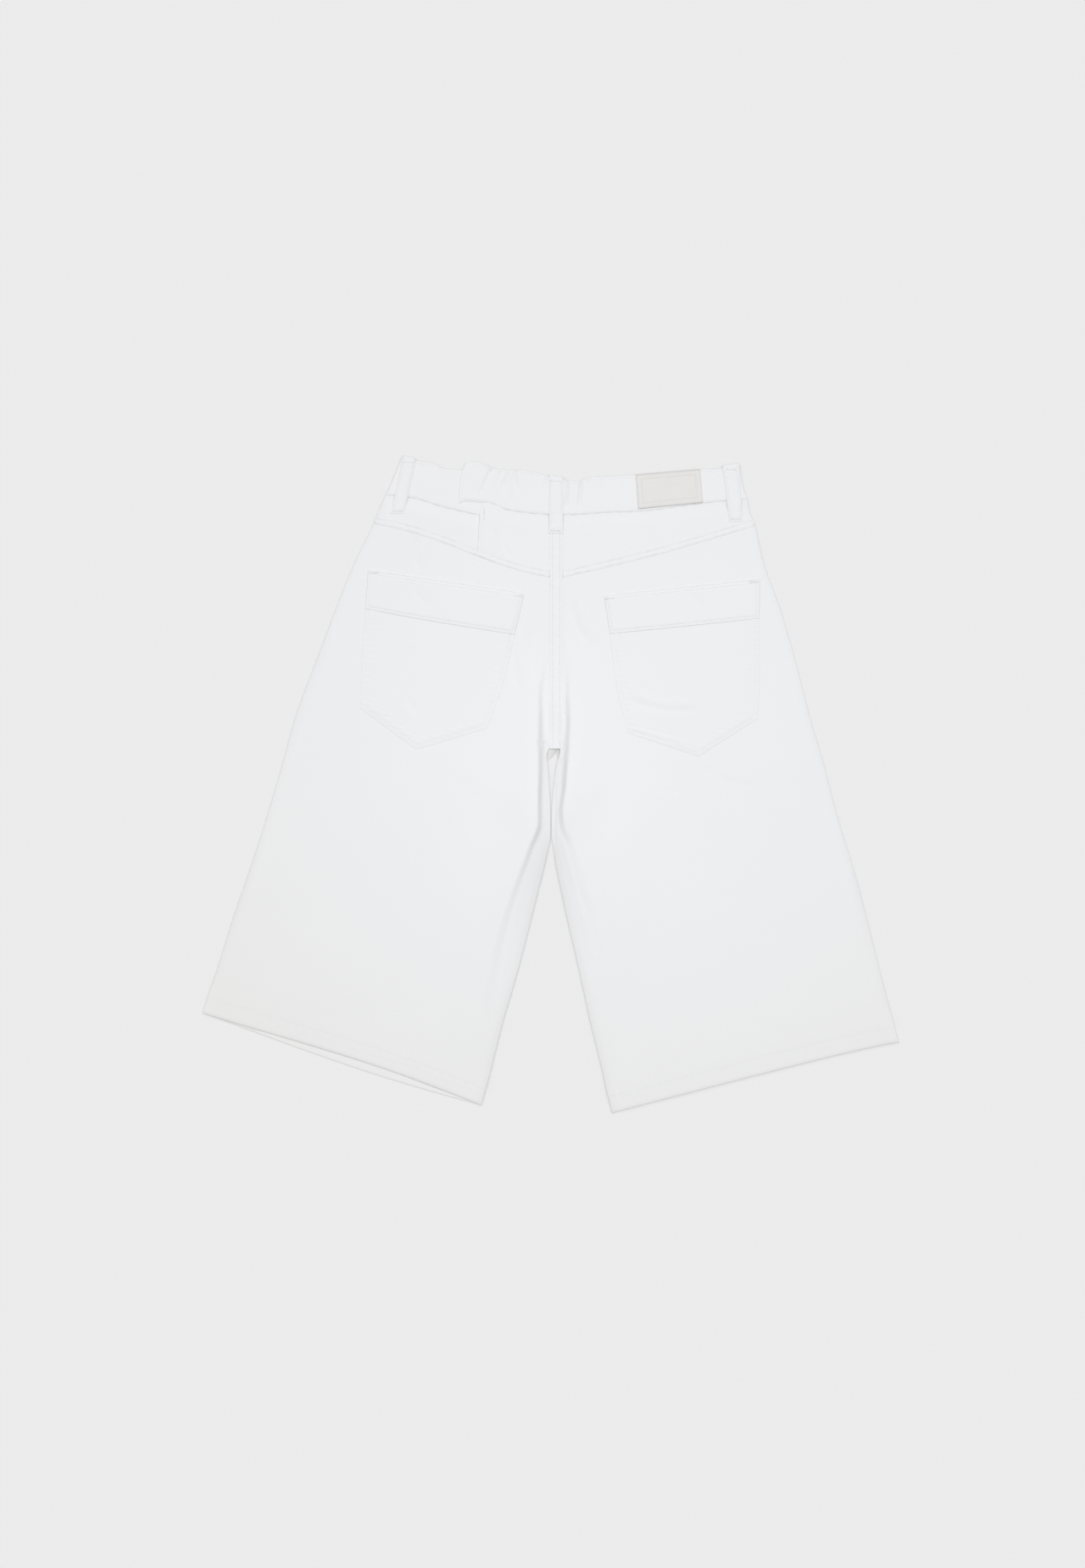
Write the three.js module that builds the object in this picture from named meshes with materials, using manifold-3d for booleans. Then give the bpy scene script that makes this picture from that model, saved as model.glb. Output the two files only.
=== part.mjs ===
// Long white denim shorts with wide legs, laid face down, so that the back shows.
// Millimetres: +X to the right of the laid garment, +Y to the waist, +Z up. The origin is in the
// middle of the ground that the garment covers. Left and right are those of the laid garment.
// The fronts lie flat on the ground, and the backs lie on them, a little lofted between the seams.
import * as THREE from "three";
import { mergeVertices } from "three/addons/utils/BufferGeometryUtils.js";
import Module from "manifold-3d";

const wasm = await Module();
wasm.setup();

// Thicknesses of the cloth walls
const CLOTH = 1.2; // one layer of heavy denim
const HEM = 2.0; // denim turned up twice
const BAND = 2.2; // waistband, denim folded double
const FELL = 1.0; // what a felled seam stands proud of the cloth beside it
const PATCH = 1.1; // leather-like patch
const GAP = 0.3; // between pieces, at a seam or between layers
const BAND_SEAM = 0.5; // between the waistband and what hangs from it

// Places that several pieces share
const SEAT_X = 5.2; // centre back seam, and the centre front below it
const HEM_DEPTH = 15; // from the hem's edge to the top of its turning
const LOFT = 3.4; // how far the back stands off the front between its edges
const SIDE_ROLL = 13; // width over which the side seam slopes down
const INNER_ROLL = 22; // width over which an inner leg edge slopes down
const WAIST_LIFT = 1.2; // the thicker front waistband lifts the back
const BAND_PROUD = 0.8; // how far the waistband stands above the yoke
const SIDE_BAND_END = -70.9; // where the waistband's side section ends
const SLIT_X = -71; // slit in the left yoke
const SLIT_TOP_X = -70; // where the slit meets the waistband
const SLIT_LAP = 8; // how far the side yoke runs on under the centre yoke
const YOKE_LAP_END = SLIT_X + SLIT_LAP; // from here the centre yoke comes down to the cloth
const YOKE_LAP_SLOPE = 20;
const BAND_LAP_END = -67; // from here the elastic section comes down to the cloth
const BAND_LAP_SLOPE = 26;
const FELL_LAP = { from: -79, slope: 6 }; // where the yoke fell rises on to the lapped yokes
const FRONT_TUCK = 1.5; // how far the front's inner leg edge hides behind the back's
const LEG_EDGE_TOP = 23; // where the inner leg edges begin to turn round the crotch
const FRONT_CROTCH = 30; // lower end of the centre front seam
const SEAT_FROM = 40; // from here up the inner leg edge is the seat seam, which lies lofted
const SEAT_RISE = 45; // height over which the loft reaches the seat seam
const HEM_SLOPE = 25; // height over which the back comes down from the two hems
const HEM_LOFT = { share: 0.25, reach: 45 }; // loft at the hem's edge, and where it is full
const WAIST_SLOPE = 15; // height over which the back rises to the front waistband
const WAIST_LOFT = 0.4; // share of the loft that is left at the waistband
const WAIST_CLEAR = 3; // how far below its edge the front waistband is kept clear of
const HEM_CLEAR = 8; // how far above its turning the front hem is kept clear of
const STEEPEST = 1.6; // most that a wall thickens upwards where it slopes
const YOKE_LAP_TOP = 265.4; // upper corner of the side yoke, under the centre yoke
const FRONT_WAIST_DROP = 3; // how far the front waistband ends below the back's top edge
const SEAT_FELL_WIDTH = 13;
const YOKE_FELL_WIDTH = 7;
const YOKE_FELL_DROP = 1.5; // how far a yoke fell reaches below its seam
const BAND_INSET = 0.4; // how far a pocket's band stays inside the pocket's corners
const BUTTON_RADIUS = 8.5;
const BUTTON_HEIGHT = 1;
const BUTTON_INSET = 13; // from the centre front to the button's middle
const BUTTON_Y = 285;
const FRONT_COLUMNS = 8; // columns of a front panel and of its waistband, so that their edges match

// Side seams from the hem corner to the top of the waistband: x, y
const LEFT_SIDE = [
  [-345.7, -226.8],
  [-330.1, -180.6],
  [-314.2, -130.2],
  [-296.9, -79.8],
  [-280.6, -29.4],
  [-265.9, 21],
  [-251.6, 71.4],
  [-232.7, 121.8],
  [-213.8, 172.2],
  [-193.2, 222.6],
  [-175.1, 259.6],
  [-169.9, 273],
  [-158.3, 298.2],
  [-147.4, 324.6],
];
const RIGHT_SIDE = [
  [345.7, -256.2],
  [325.9, -180.6],
  [313.3, -130.2],
  [299.5, -79.8],
  [283.9, -29.4],
  [270.9, 21],
  [256.2, 71.4],
  [243.2, 121.8],
  [228.5, 172.2],
  [210.8, 222.6],
  [202.9, 257.9],
  [197, 273],
  [190.3, 298.2],
  [187.7, 317.2],
];

// Inner leg edges from the hem up to the crotch, then the seat seam: x, y
const LEFT_INNER = [
  [-68.5, -318.4],
  [-64.6, -303.6],
  [-58.4, -281.4],
  [-52.2, -256],
  [-45.8, -231],
  [-38.3, -206],
  [-31.1, -180.6],
  [-24.4, -155],
  [-18.1, -130.2],
  [-11.8, -105],
  [-5.5, -79.8],
  [-1.8, -63],
  [0.1, -52],
  [0.1, -38],
  [0, -23],
  [-0.6, -8.4],
  [-1.6, 8],
  [-2.8, 22],
  [-3.4, 28],
  [-2.4, 33],
  [-0.2, 36.4],
  [2.4, 38.6],
  [SEAT_X - GAP / 2, 39.6],
  [SEAT_X - GAP / 2, 52],
  [SEAT_X - GAP / 2, 68],
  [SEAT_X - GAP / 2, 88],
  [SEAT_X - GAP / 2, 112],
  [SEAT_X - GAP / 2, 136],
  [SEAT_X - GAP / 2, 160],
  [SEAT_X - GAP / 2, 184],
  [SEAT_X - GAP / 2, 204.6],
];
const RIGHT_INNER = [
  [60.9, -325.9],
  [57.2, -311],
  [50.4, -281.4],
  [44.3, -256],
  [38.2, -231],
  [32.8, -206],
  [27.3, -180.6],
  [21.4, -155],
  [15.5, -130.2],
  [10.2, -105],
  [5, -79.8],
  [2.6, -63],
  [0.9, -52],
  [0.9, -38],
  [1.2, -23],
  [2.3, -8.4],
  [4, 8],
  [6.2, 22],
  [8.4, 28],
  [9.2, 33],
  [8.6, 36.4],
  [7.4, 38.6],
  [SEAT_X + GAP / 2, 39.6],
  [SEAT_X + GAP / 2, 52],
  [SEAT_X + GAP / 2, 68],
  [SEAT_X + GAP / 2, 88],
  [SEAT_X + GAP / 2, 112],
  [SEAT_X + GAP / 2, 136],
  [SEAT_X + GAP / 2, 160],
  [SEAT_X + GAP / 2, 184],
  [SEAT_X + GAP / 2, 204.6],
];

// The fold beside the crotch on each leg, where the cloth steps up: y, x, rise, width of the step
const LEFT_FOLD = [
  [-270, -64, 0, 16],
  [-200, -53, 2, 13],
  [-155.4, -44, 3, 12],
  [-113.4, -32.4, 4, 10],
  [-63, -15.4, 6.2, 7.5],
  [-37.8, -8, 8.4, 5],
  [-14.3, -8, 9, 5],
  [12, -7, 8, 5.6],
  [37, -6.4, 7.2, 6.5],
  [88.2, -6.4, 4, 7],
  [121.8, -3, 1.2, 8],
  [150, -3, 0, 10],
];
const RIGHT_FOLD = [
  [-240, 54, 0, 16],
  [-155, 39, 1.2, 14],
  [-105, 25, 2.2, 12],
  [-59.6, 13, 3.6, 9],
  [-42, 7.6, 6, 6],
  [-27.7, 7.4, 7.8, 5],
  [-1.7, 10.6, 9, 5],
  [37, 12.6, 7.2, 6.5],
  [63, 14, 6, 6.5],
  [88.2, 13.2, 4, 7],
  [121.8, 13, 1.2, 8],
  [150, 13, 0, 10],
];
const FOLD_SPREAD = 32; // how far the raised cloth takes to come down again
const NEAREST_FOLD = 4; // least room between an inner edge and the columns of its fold

// Hems, from the side seam to the inner edge: how far they bow from a straight line, and where
const LEFT_BACK_HEM = { bow: 4.6, peak: 0.6 };
const LEFT_FRONT_HEM = { bow: -4.2, peak: 0.56 };
const RIGHT_HEM = { bow: 2.6, peak: 0.28 };

// Waistband edges: x, y
const SIDE_BAND_LOW = [
  [-163.2, 286.6],
  [-143.2, 284.8],
  [-129.8, 282.2],
  [-108.8, 275.5],
  [-87.8, 270.5],
  [SIDE_BAND_END, 266.8],
];
const SIDE_BAND_TOP = [
  [-147.4, 324.6],
  [-133.1, 320.9],
  [-114.7, 317.5],
  [-107.1, 313.3],
  [-89.5, 311.6],
  [SIDE_BAND_END, 310.6],
];
const ELASTIC_LOW = [
  [-90.8, 277.4],
  [-86, 280],
  [-62.6, 278],
  [-42.4, 272.2],
  [-20.6, 268.8],
  [13, 267.1],
  [59.2, 269.6],
  [85.3, 270.5],
  [150.8, 278.6],
  [174.3, 281],
  [194.9, 282.5],
];
const ELASTIC_TOP = [
  [-81.9, 320],
  [-72.7, 319.2],
  [-53.3, 312.5],
  [-30.7, 311.6],
  [-13, 308.3],
  [0.4, 304.9],
  [26.5, 300.7],
  [38.2, 304.1],
  [72.7, 305.8],
  [148.3, 313.3],
  [187.7, 317.2],
];
const TAB_END = [
  [-90.8, 277.4],
  [-90.3, 294.8],
  [-87.8, 310],
  [-81.9, 320],
];

const BAND_MIDDLE = 288; // height at which the gathers are placed

// Gathers of the elastic, as troughs across the waistband: x, slant, depth, half width, lower end
const GATHERS = [
  [-69.6, 0.4, 0.9, 1.8, 289],
  [-56, 0.3, 0.5, 1.7, 292],
  [-50, 0.37, 0.9, 1.8, 290],
  [-38.6, 0.1, 0.35, 1.6, 274],
  [-32.4, -0.1, 0.9, 1.8, 290],
  [-19, 0.05, 0.3, 2, 288],
  [-6.2, 0.1, 0.7, 1.8, 289],
  [16.4, 0, 0.8, 1.7, 271],
  [29, 0.04, 1, 1.9, 273],
  [36.7, 0, 0.7, 1.7, 292],
  [50, 0.05, 0.25, 2.4, 288],
];
const GATHER_FADE = 8; // height over which a gather runs out at its lower end

// Yoke seams from the side to the seat: how far they bow from a straight line
const LEFT_YOKE = { from: [-175.1, 259.6], to: [SEAT_X, 204.9], bow: 2.8, waves: 2 };
const RIGHT_YOKE = { from: [202.9, 257.9], to: [SEAT_X, 204.9], bow: -3, waves: 1 };
const YOKE_SLIT = [
  [-72.7, 235.8],
  [-71.4, 252],
  [SLIT_TOP_X, 278.4],
];

// Patch pockets and their bands: sides up to the opening, the two lower edges, the band's lower edge
const LEFT_POCKET = {
  left: [
    [-188, 75],
    [-187.3, 115.1],
    [-184.4, 161.3],
    [-181, 212.2],
  ],
  right: [
    [-63.4, 55.4],
    [-47.5, 98.7],
    [-41, 125.2],
    [-25.6, 189.2],
  ],
  tip: [-133, 34.6],
  bandLow: [
    [-183.6, 173.9],
    [-126, 163.2],
    [-35.4, 148.4],
  ],
};
const RIGHT_POCKET = {
  left: [
    [76.8, 51],
    [65.5, 95.8],
    [58.8, 148.7],
    [52.8, 186.7],
  ],
  right: [
    [205, 64.7],
    [207.1, 103.3],
    [207.1, 156.2],
    [207.9, 203.3],
  ],
  tip: [146.5, 27.7],
  bandLow: [
    [58.7, 149.2],
    [127, 156],
    [207.2, 164.4],
  ],
};

// Belt loops: lower left, upper left, lower right, upper right corner, and what they lie on
const LEFT_LOOP = [
  [-158.3, 268],
  [-146.4, 324.9],
  [-144.9, 268],
  [-133.4, 321.2],
];
const CENTRE_LOOP = [
  [-1.5, 248.6],
  [-1.5, 305.5],
  [12.5, 248.6],
  [12.5, 303.1],
];
const RIGHT_LOOP = [
  [177, 260.4],
  [170.4, 316],
  [190.4, 260.4],
  [188.2, 318],
];
const WAIST_PATCH = [
  [86.9, 272.8],
  [84.3, 306.9],
  [151, 279.2],
  [148, 312.4],
];

const denim = new THREE.MeshStandardMaterial({ color: "#f1f2f4", roughness: 0.92 });
const leather = new THREE.MeshStandardMaterial({ color: "#dedcd8", roughness: 0.62 });
const metal = new THREE.MeshStandardMaterial({ color: "#c9c9c6", roughness: 0.35, metalness: 1 });

const garment = new THREE.Group();

// Small sums
const clamp = (value) => Math.min(Math.max(value, 0), 1);
const mix = (a, b, share) => a + (b - a) * share;
const smooth = (value) => clamp(value) ** 2 * (3 - 2 * clamp(value));
const sloped = (distance, width) => 1 - (1 - clamp(distance / width)) ** 2;

// A table's column at a value of its key column, on straight lines between its rows.
function read(table, value, key, column) {
  const rising = table[0][key] < table.at(-1)[key];
  const rows = rising ? table : table.toReversed();
  const next = rows.findIndex((row) => row[key] >= value);
  if (next < 1) return (next ? rows.at(-1) : rows[0])[column];
  const [before, after] = [rows[next - 1], rows[next]];
  return mix(before[column], after[column], (value - before[key]) / (after[key] - before[key]));
}

// A path through points, read at a share of its length. Its stops are the shares of its points.
function path(points) {
  const lengths = [0];
  for (let i = 1; i < points.length; i++)
    lengths.push(lengths[i - 1] + Math.hypot(...points[i].map((c, k) => c - points[i - 1][k])));
  const rows = points.map((point, i) => [lengths[i] / lengths.at(-1), ...point]);
  const at = (share) => [read(rows, share, 0, 1), read(rows, share, 0, 2)];
  at.stops = rows.map(([share]) => share);
  return at;
}

// A line between two points that bows up by a sine of its length, with its peak where it is told.
function bowed(from, to, { bow, peak = 0.5, waves = 1 }) {
  const bend = Math.log(0.5) / Math.log(peak);
  return (share) => [
    mix(from[0], to[0], share),
    mix(from[1], to[1], share) + bow * Math.sin(waves * Math.PI * share ** bend),
  ];
}

const reversed = (line) => (share) => line(1 - share);
const moved = (line, x, y) => (share) => [line(share)[0] + x, line(share)[1] + y];

// Points of a piece from its four edges: left and right run up, bottom and top run to the right.
function stretch({ left, right, bottom, top }) {
  return (u, v) =>
    [0, 1].map(
      (k) =>
        mix(left(v)[k], right(v)[k], u) +
        mix(bottom(u)[k], top(u)[k], v) -
        mix(mix(bottom(0)[k], bottom(1)[k], u), mix(top(0)[k], top(1)[k], u), v),
    );
}

const corners = ([lowLeft, topLeft, lowRight, topRight]) => ({
  left: path([lowLeft, topLeft]),
  right: path([lowRight, topRight]),
  bottom: path([lowLeft, lowRight]),
  top: path([topLeft, topRight]),
});

const evenly = (count, from = 0, to = 1) =>
  Array.from({ length: count + 1 }, (_, i) => mix(from, to, i / count));

// One leg's edges, for the height of the cloth above the ground
const hemBetween = (side, inner, shape) => bowed(side[0], inner[0], shape);
const LEFT = { side: LEFT_SIDE, inner: LEFT_INNER, fold: LEFT_FOLD, outward: -1 };
const RIGHT = { side: RIGHT_SIDE, inner: RIGHT_INNER, fold: RIGHT_FOLD, outward: 1 };
LEFT.hem = hemBetween(LEFT_SIDE, LEFT_INNER, LEFT_BACK_HEM);
RIGHT.hem = hemBetween(RIGHT_SIDE, RIGHT_INNER, RIGHT_HEM);
LEFT.frontHem = hemBetween(LEFT_SIDE, LEFT_INNER, LEFT_FRONT_HEM);
RIGHT.frontHem = hemBetween(RIGHT_SIDE, RIGHT_INNER, RIGHT_HEM);
for (const leg of [LEFT, RIGHT]) {
  const legEdge = leg.inner.filter(([, y]) => y < LEG_EDGE_TOP);
  leg.guide = [...legEdge, [legEdge.at(-1)[0], leg.inner.at(-1)[1]]];
}
const legAt = (x) => (x < SEAT_X ? LEFT : RIGHT);

// How far a point lies above the hem's edge.
function aboveHem(leg, hem, x, y) {
  const [from, to] = [hem(0)[0], hem(1)[0]];
  return y - hem(clamp((x - from) / (to - from)))[1];
}

// The lower edge of the waistband, of the section that shows there.
const bandLow = (x) =>
  x < SIDE_BAND_END ? read(SIDE_BAND_LOW, x, 0, 1) : read(ELASTIC_LOW, Math.max(x, SLIT_TOP_X), 0, 1);

// The fold beside the crotch: a step up along its line, and a long slope down beyond it.
function foldRise(leg, x, y) {
  const beyond = (x - read(leg.fold, y, 0, 1)) * leg.outward;
  const rise = read(leg.fold, y, 0, 2);
  const step = read(leg.fold, y, 0, 3);
  return rise * smooth(beyond / step) * Math.exp(-((Math.max(beyond - step, 0) / FOLD_SPREAD) ** 2));
}

// Height of the back's upper face: flat on the front at the edges, lofted between them.
function clothTop(x, y) {
  const leg = legAt(x);
  const toSide = Math.abs(x - read(leg.side, y, 1, 0));
  const toInner = Math.max((x - read(leg.guide, y, 1, 0)) * leg.outward, 0);
  const seat = smooth((y - SEAT_FROM) / SEAT_RISE);
  const hem = aboveHem(leg, leg.hem, x, y);
  const nearHem = 1 - smooth((hem - HEM_DEPTH) / HEM_SLOPE);
  const nearWaist = smooth((y - bandLow(x)) / WAIST_SLOPE + 1);
  const rounded = sloped(toSide, SIDE_ROLL) * mix(sloped(toInner, INNER_ROLL), 1, seat);
  const fromHem = mix(HEM_LOFT.share, 1, smooth(hem / HEM_LOFT.reach));
  const loft = LOFT * rounded * fromHem * mix(1, WAIST_LOFT, nearWaist);
  const lift = 2 * (HEM - CLOTH) * nearHem + WAIST_LIFT * nearWaist;
  return 2 * CLOTH + GAP + lift + loft + foldRise(leg, x, y);
}

// What a wall needs between its faces where it slopes, so that it is as thick across.
function steepness(x, y) {
  const [dx, dy] = [clothTop(x + 0.5, y) - clothTop(x - 0.5, y), clothTop(x, y + 0.5) - clothTop(x, y - 0.5)];
  return Math.min(Math.hypot(1, dx, dy), STEEPEST);
}

// Upper face of the fronts under a point, which the backs stay clear of.
function frontTop(x, y) {
  const leg = legAt(x);
  if (y > bandLow(x) - WAIST_CLEAR) return BAND;
  return aboveHem(leg, leg.hem, x, y) < HEM_DEPTH + HEM_CLEAR ? HEM : CLOTH;
}

// A closed wall from rows of points x, y, low, high, with the rows going up and each to the right.
function wall(name, rows, material = denim) {
  const [count, across] = [rows.length * rows[0].length, rows[0].length];
  const points = rows.flat();
  const positions = [
    ...points.flatMap(([x, y, , high]) => [x, y, high]),
    ...points.flatMap(([x, y, low]) => [x, y, low]),
  ];
  const faces = [];
  const quad = (a, b, c, d) => faces.push(a, b, c, a, c, d);
  for (let i = 0; i + 1 < rows.length; i++)
    for (let j = 0; j + 1 < across; j++) {
      const [a, b] = [i * across + j, (i + 1) * across + j];
      quad(a, a + 1, b + 1, b);
      quad(a + count, b + count, b + count + 1, a + count + 1);
    }
  for (let j = 0; j + 1 < across; j++) {
    const last = count - across + j;
    quad(j + count, j + count + 1, j + 1, j);
    quad(last, last + 1, last + count + 1, last + count);
  }
  for (let i = 0; i + 1 < rows.length; i++) {
    const [a, b] = [i * across, (i + 1) * across];
    quad(a, b, b + count, a + count);
    quad(a + across - 1 + count, b + across - 1 + count, b + across - 1, a + across - 1);
  }
  const geometry = new THREE.BufferGeometry();
  geometry.setAttribute("position", new THREE.Float32BufferAttribute(positions, 3));
  geometry.setIndex(faces);
  return add(name, geometry, material);
}

function add(name, geometry, material) {
  const mesh = new THREE.Mesh(geometry, material);
  mesh.name = name;
  garment.add(mesh);
  return mesh;
}

// Rows of a piece that lies on the garment: its edges, its columns and rows, and its two faces.
function layOn(edges, us, vs, faces) {
  const point = stretch(edges);
  return vs.map((v) =>
    us.map((u) => {
      const [x, y] = point(u, v);
      return [x, y, ...faces(x, y, u, v)];
    }),
  );
}

// Faces of a layer that lies a height above the back's cloth.
const layer = (above, thickness) => (x, y) => {
  const low = clothTop(x, y) + above;
  return [low, low + thickness];
};

// Back leg panels, with their columns drawn in to the fold beside the crotch
function backPanel(name, leg, yoke) {
  const side = path(leg.side.filter(([, y]) => y <= yoke.from[1]));
  const inner = path(leg.inner);
  const seam = moved(bowed(yoke.from, leg.inner.at(-1), yoke), 0, -GAP / 2);
  const edges = { left: side, right: inner, bottom: leg.hem, top: seam };
  const point = stretch(edges);
  const rows = inner.stops.map((v) => {
    const [outerEnd, innerEnd] = [point(0, v), point(1, v)];
    const width = Math.abs(outerEnd[0] - innerEnd[0]);
    const rowY = (x) => mix(innerEnd[1], outerEnd[1], Math.abs(x - innerEnd[0]) / width);
    let foldX = read(leg.fold, innerEnd[1], 0, 1);
    for (let pass = 0; pass < 3; pass++) foldX = read(leg.fold, rowY(foldX), 0, 1);
    const fold = Math.max(Math.abs(foldX - innerEnd[0]), NEAREST_FOLD);
    const step = read(leg.fold, rowY(foldX), 0, 3);
    const foot = [0, 1.2, 0.45 * fold, 0.8 * fold, fold, fold + step / 3, fold + (2 * step) / 3];
    const ridge = [0, 8, 18, 30, 44, 60].map((beyond) => fold + step + beyond);
    const middle = [0.25, 0.55, 0.82].map((share) => mix(ridge.at(-1), width - SIDE_ROLL, share));
    const rim = [SIDE_ROLL, 9, 4, 1.2, 0].map((inset) => width - inset);
    return [...foot, ...ridge, ...middle, ...rim].map((distance) => {
      const [x, y] = point(1 - distance / width, v);
      const high = clothTop(x, y);
      const thick = aboveHem(leg, leg.hem, x, y) < HEM_DEPTH + 1 ? HEM : CLOTH;
      return [x, y, Math.max(high - thick * steepness(x, y), frontTop(x, y) + GAP), high];
    });
  });
  wall(name, leg === LEFT ? rows.map((row) => row.toReversed()) : rows);
}

// Seam between a front panel and its half of the waistband, from left to right
function frontWaistSeam(outward) {
  const centre = [SEAT_X + (GAP / 2) * outward, bandLow(SEAT_X)];
  if (outward < 0) return [...SIDE_BAND_LOW, centre];
  return [centre, ...ELASTIC_LOW.filter(([x]) => x > SEAT_X)];
}

// Front leg panels, flat on the ground, whose turned hem is thicker on the inside
function frontPanel(name, leg) {
  const tuck = FRONT_TUCK * leg.outward;
  const centre = SEAT_X + (GAP / 2) * leg.outward;
  const waistLine = frontWaistSeam(leg.outward).map(([x, y]) => [x, y - BAND_SEAM]);
  const inner = leg.inner.filter(([, y]) => y < LEG_EDGE_TOP).map(([x, y]) => [x + tuck, y]);
  inner.push([centre, FRONT_CROTCH], waistLine.at(leg.outward < 0 ? -1 : 0));
  const outer = leg.side.slice(0, -2);
  outer.push(leg.outward < 0 ? waistLine[0] : waistLine.at(-1));
  inner[0] = leg.inner[0];
  const edges = {
    left: path(leg.outward < 0 ? outer : inner),
    right: path(leg.outward < 0 ? inner : outer),
    bottom: leg.outward < 0 ? leg.frontHem : reversed(leg.frontHem),
    top: path(waistLine),
  };
  const span = Math.hypot(outer[0][0] - outer.at(-1)[0], outer[0][1] - outer.at(-1)[1]);
  const turning = HEM_DEPTH / span;
  const vs = [0, turning, turning + 0.002, ...evenly(16, turning + 0.04, 1)];
  const thick = (x, y, u, v) => [0, v < turning + 0.001 ? HEM : CLOTH];
  wall(name, layOn(edges, evenly(FRONT_COLUMNS), vs, thick));
}

// Yokes between the waistband and the yoke seams
function yokePiece(name, yoke, [from, to], side, top, us, lift = () => 0) {
  const seam = bowed(yoke.from, yoke.to, yoke);
  const bottom = moved((share) => seam(mix(from, to, share)), 0, GAP / 2);
  const faces = (x, y) => {
    const high = clothTop(x, y) + lift(x);
    return [Math.max(high - CLOTH * steepness(x, y), frontTop(x, y) + GAP), high];
  };
  const edges = { bottom, top: path(top), ...side(bottom) };
  wall(name, layOn(edges, us, evenly(5), faces));
}

// How far the centre yoke and the elastic band rise over the pieces that they lap
const yokeLap = (x) => (CLOTH + GAP) * (1 - smooth((x - YOKE_LAP_END) / YOKE_LAP_SLOPE));
const bandLap = (x) => (BAND + GAP) * (1 - smooth((x - BAND_LAP_END) / BAND_LAP_SLOPE));
const yokeShare = ({ from, to }, x) => (x - from[0]) / (to[0] - from[0]);

function yokes() {
  const below = (points) => points.map(([x, y]) => [x, y - BAND_SEAM]);
  const seatTop = bandLow(SEAT_X) - BAND_SEAM;
  const rim = [0, 0.012, 0.04, 0.1];
  const sideTop = below(SIDE_BAND_LOW);
  const lapTop = [YOKE_LAP_END, YOKE_LAP_TOP];
  yokePiece(
    "back_yoke_left_side",
    LEFT_YOKE,
    [0, yokeShare(LEFT_YOKE, YOKE_LAP_END)],
    (bottom) => ({ left: path([bottom(0), LEFT_SIDE.at(-3), sideTop[0]]), right: path([bottom(1), lapTop]) }),
    [...sideTop, lapTop],
    [...rim, ...evenly(7, 0.2, 1)],
  );
  const centreEnd = [SEAT_X - GAP / 2, seatTop];
  const centreTop = below(ELASTIC_LOW.filter(([x]) => x > SLIT_TOP_X && x < SEAT_X));
  yokePiece(
    "back_yoke_left_centre",
    LEFT_YOKE,
    [yokeShare(LEFT_YOKE, YOKE_SLIT[0][0]), yokeShare(LEFT_YOKE, centreEnd[0])],
    (bottom) => ({ left: path([bottom(0), ...YOKE_SLIT.slice(1)]), right: path([bottom(1), centreEnd]) }),
    [YOKE_SLIT.at(-1), ...centreTop, centreEnd],
    evenly(12),
    yokeLap,
  );
  const rightStart = [SEAT_X + GAP / 2, seatTop];
  const rightTop = below(ELASTIC_LOW.filter(([x]) => x > SEAT_X));
  yokePiece(
    "back_yoke_right",
    RIGHT_YOKE,
    [yokeShare(RIGHT_YOKE, rightStart[0]), 0],
    (bottom) => ({
      left: path([bottom(0), rightStart]),
      right: path([bottom(1), RIGHT_SIDE.at(-3), rightTop.at(-1)]),
    }),
    [rightStart, ...rightTop],
    [...evenly(11, 0, 0.9), ...rim.map((inset) => 1 - inset).toReversed().slice(1)],
  );
}

// Troughs of the gathers where the elastic draws the waistband together
function gathered(x, y) {
  const up = y - BAND_MIDDLE;
  return GATHERS.reduce((depth, [at, slant, trough, half, low]) => {
    const across = (x - at - slant * up) / half;
    return depth + trough * Math.exp(-across * across) * smooth((y - low) / GATHER_FADE);
  }, 0);
}

function waistbands() {
  const faces = (lift, dip) => (x, y) => {
    const high = clothTop(x, y) + BAND_PROUD + lift(x) - dip(x, y);
    return [Math.max(high - BAND, BAND + GAP), high];
  };
  const end = [SIDE_BAND_LOW.at(-1), SIDE_BAND_TOP.at(-1)];
  const side = {
    left: path([SIDE_BAND_LOW[0], LEFT_SIDE.at(-2), SIDE_BAND_TOP[0]]),
    right: path(end),
    bottom: path(SIDE_BAND_LOW),
    top: path(SIDE_BAND_TOP),
  };
  const rim = [0, 0.02, 0.06, 0.14];
  const flat = () => 0;
  wall("waistband_back_side", layOn(side, [...rim, ...evenly(8, 0.24, 1)], evenly(4), faces(flat, flat)));
  const elastic = {
    left: path(TAB_END),
    right: path([ELASTIC_LOW.at(-1), RIGHT_SIDE.at(-2), ELASTIC_TOP.at(-1)]),
    bottom: path(ELASTIC_LOW),
    top: path(ELASTIC_TOP),
  };
  const us = [
    ...evenly(56, 0, 0.6),
    ...evenly(9, 0.64, 0.93),
    ...rim.map((inset) => 1 - inset / 2).toReversed().slice(1),
  ];
  wall("waistband_back_elastic", layOn(elastic, us, evenly(4), faces(bandLap, gathered)));
  frontWaistband("waistband_front_left", -1);
  frontWaistband("waistband_front_right", 1);
}

// Front waistband, flat on the ground, a little lower at the top than the back one: points of the top
const FRONT_BAND_TOP = {
  left: [...SIDE_BAND_TOP, [-20, 307], [SEAT_X - GAP / 2, 303.4]],
  right: [[SEAT_X + GAP / 2, 303.4], ...ELASTIC_TOP.slice(-4)],
};
const FRONT_BAND_END = { left: [-159.6, 295], right: [190.9, 295] };

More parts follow.
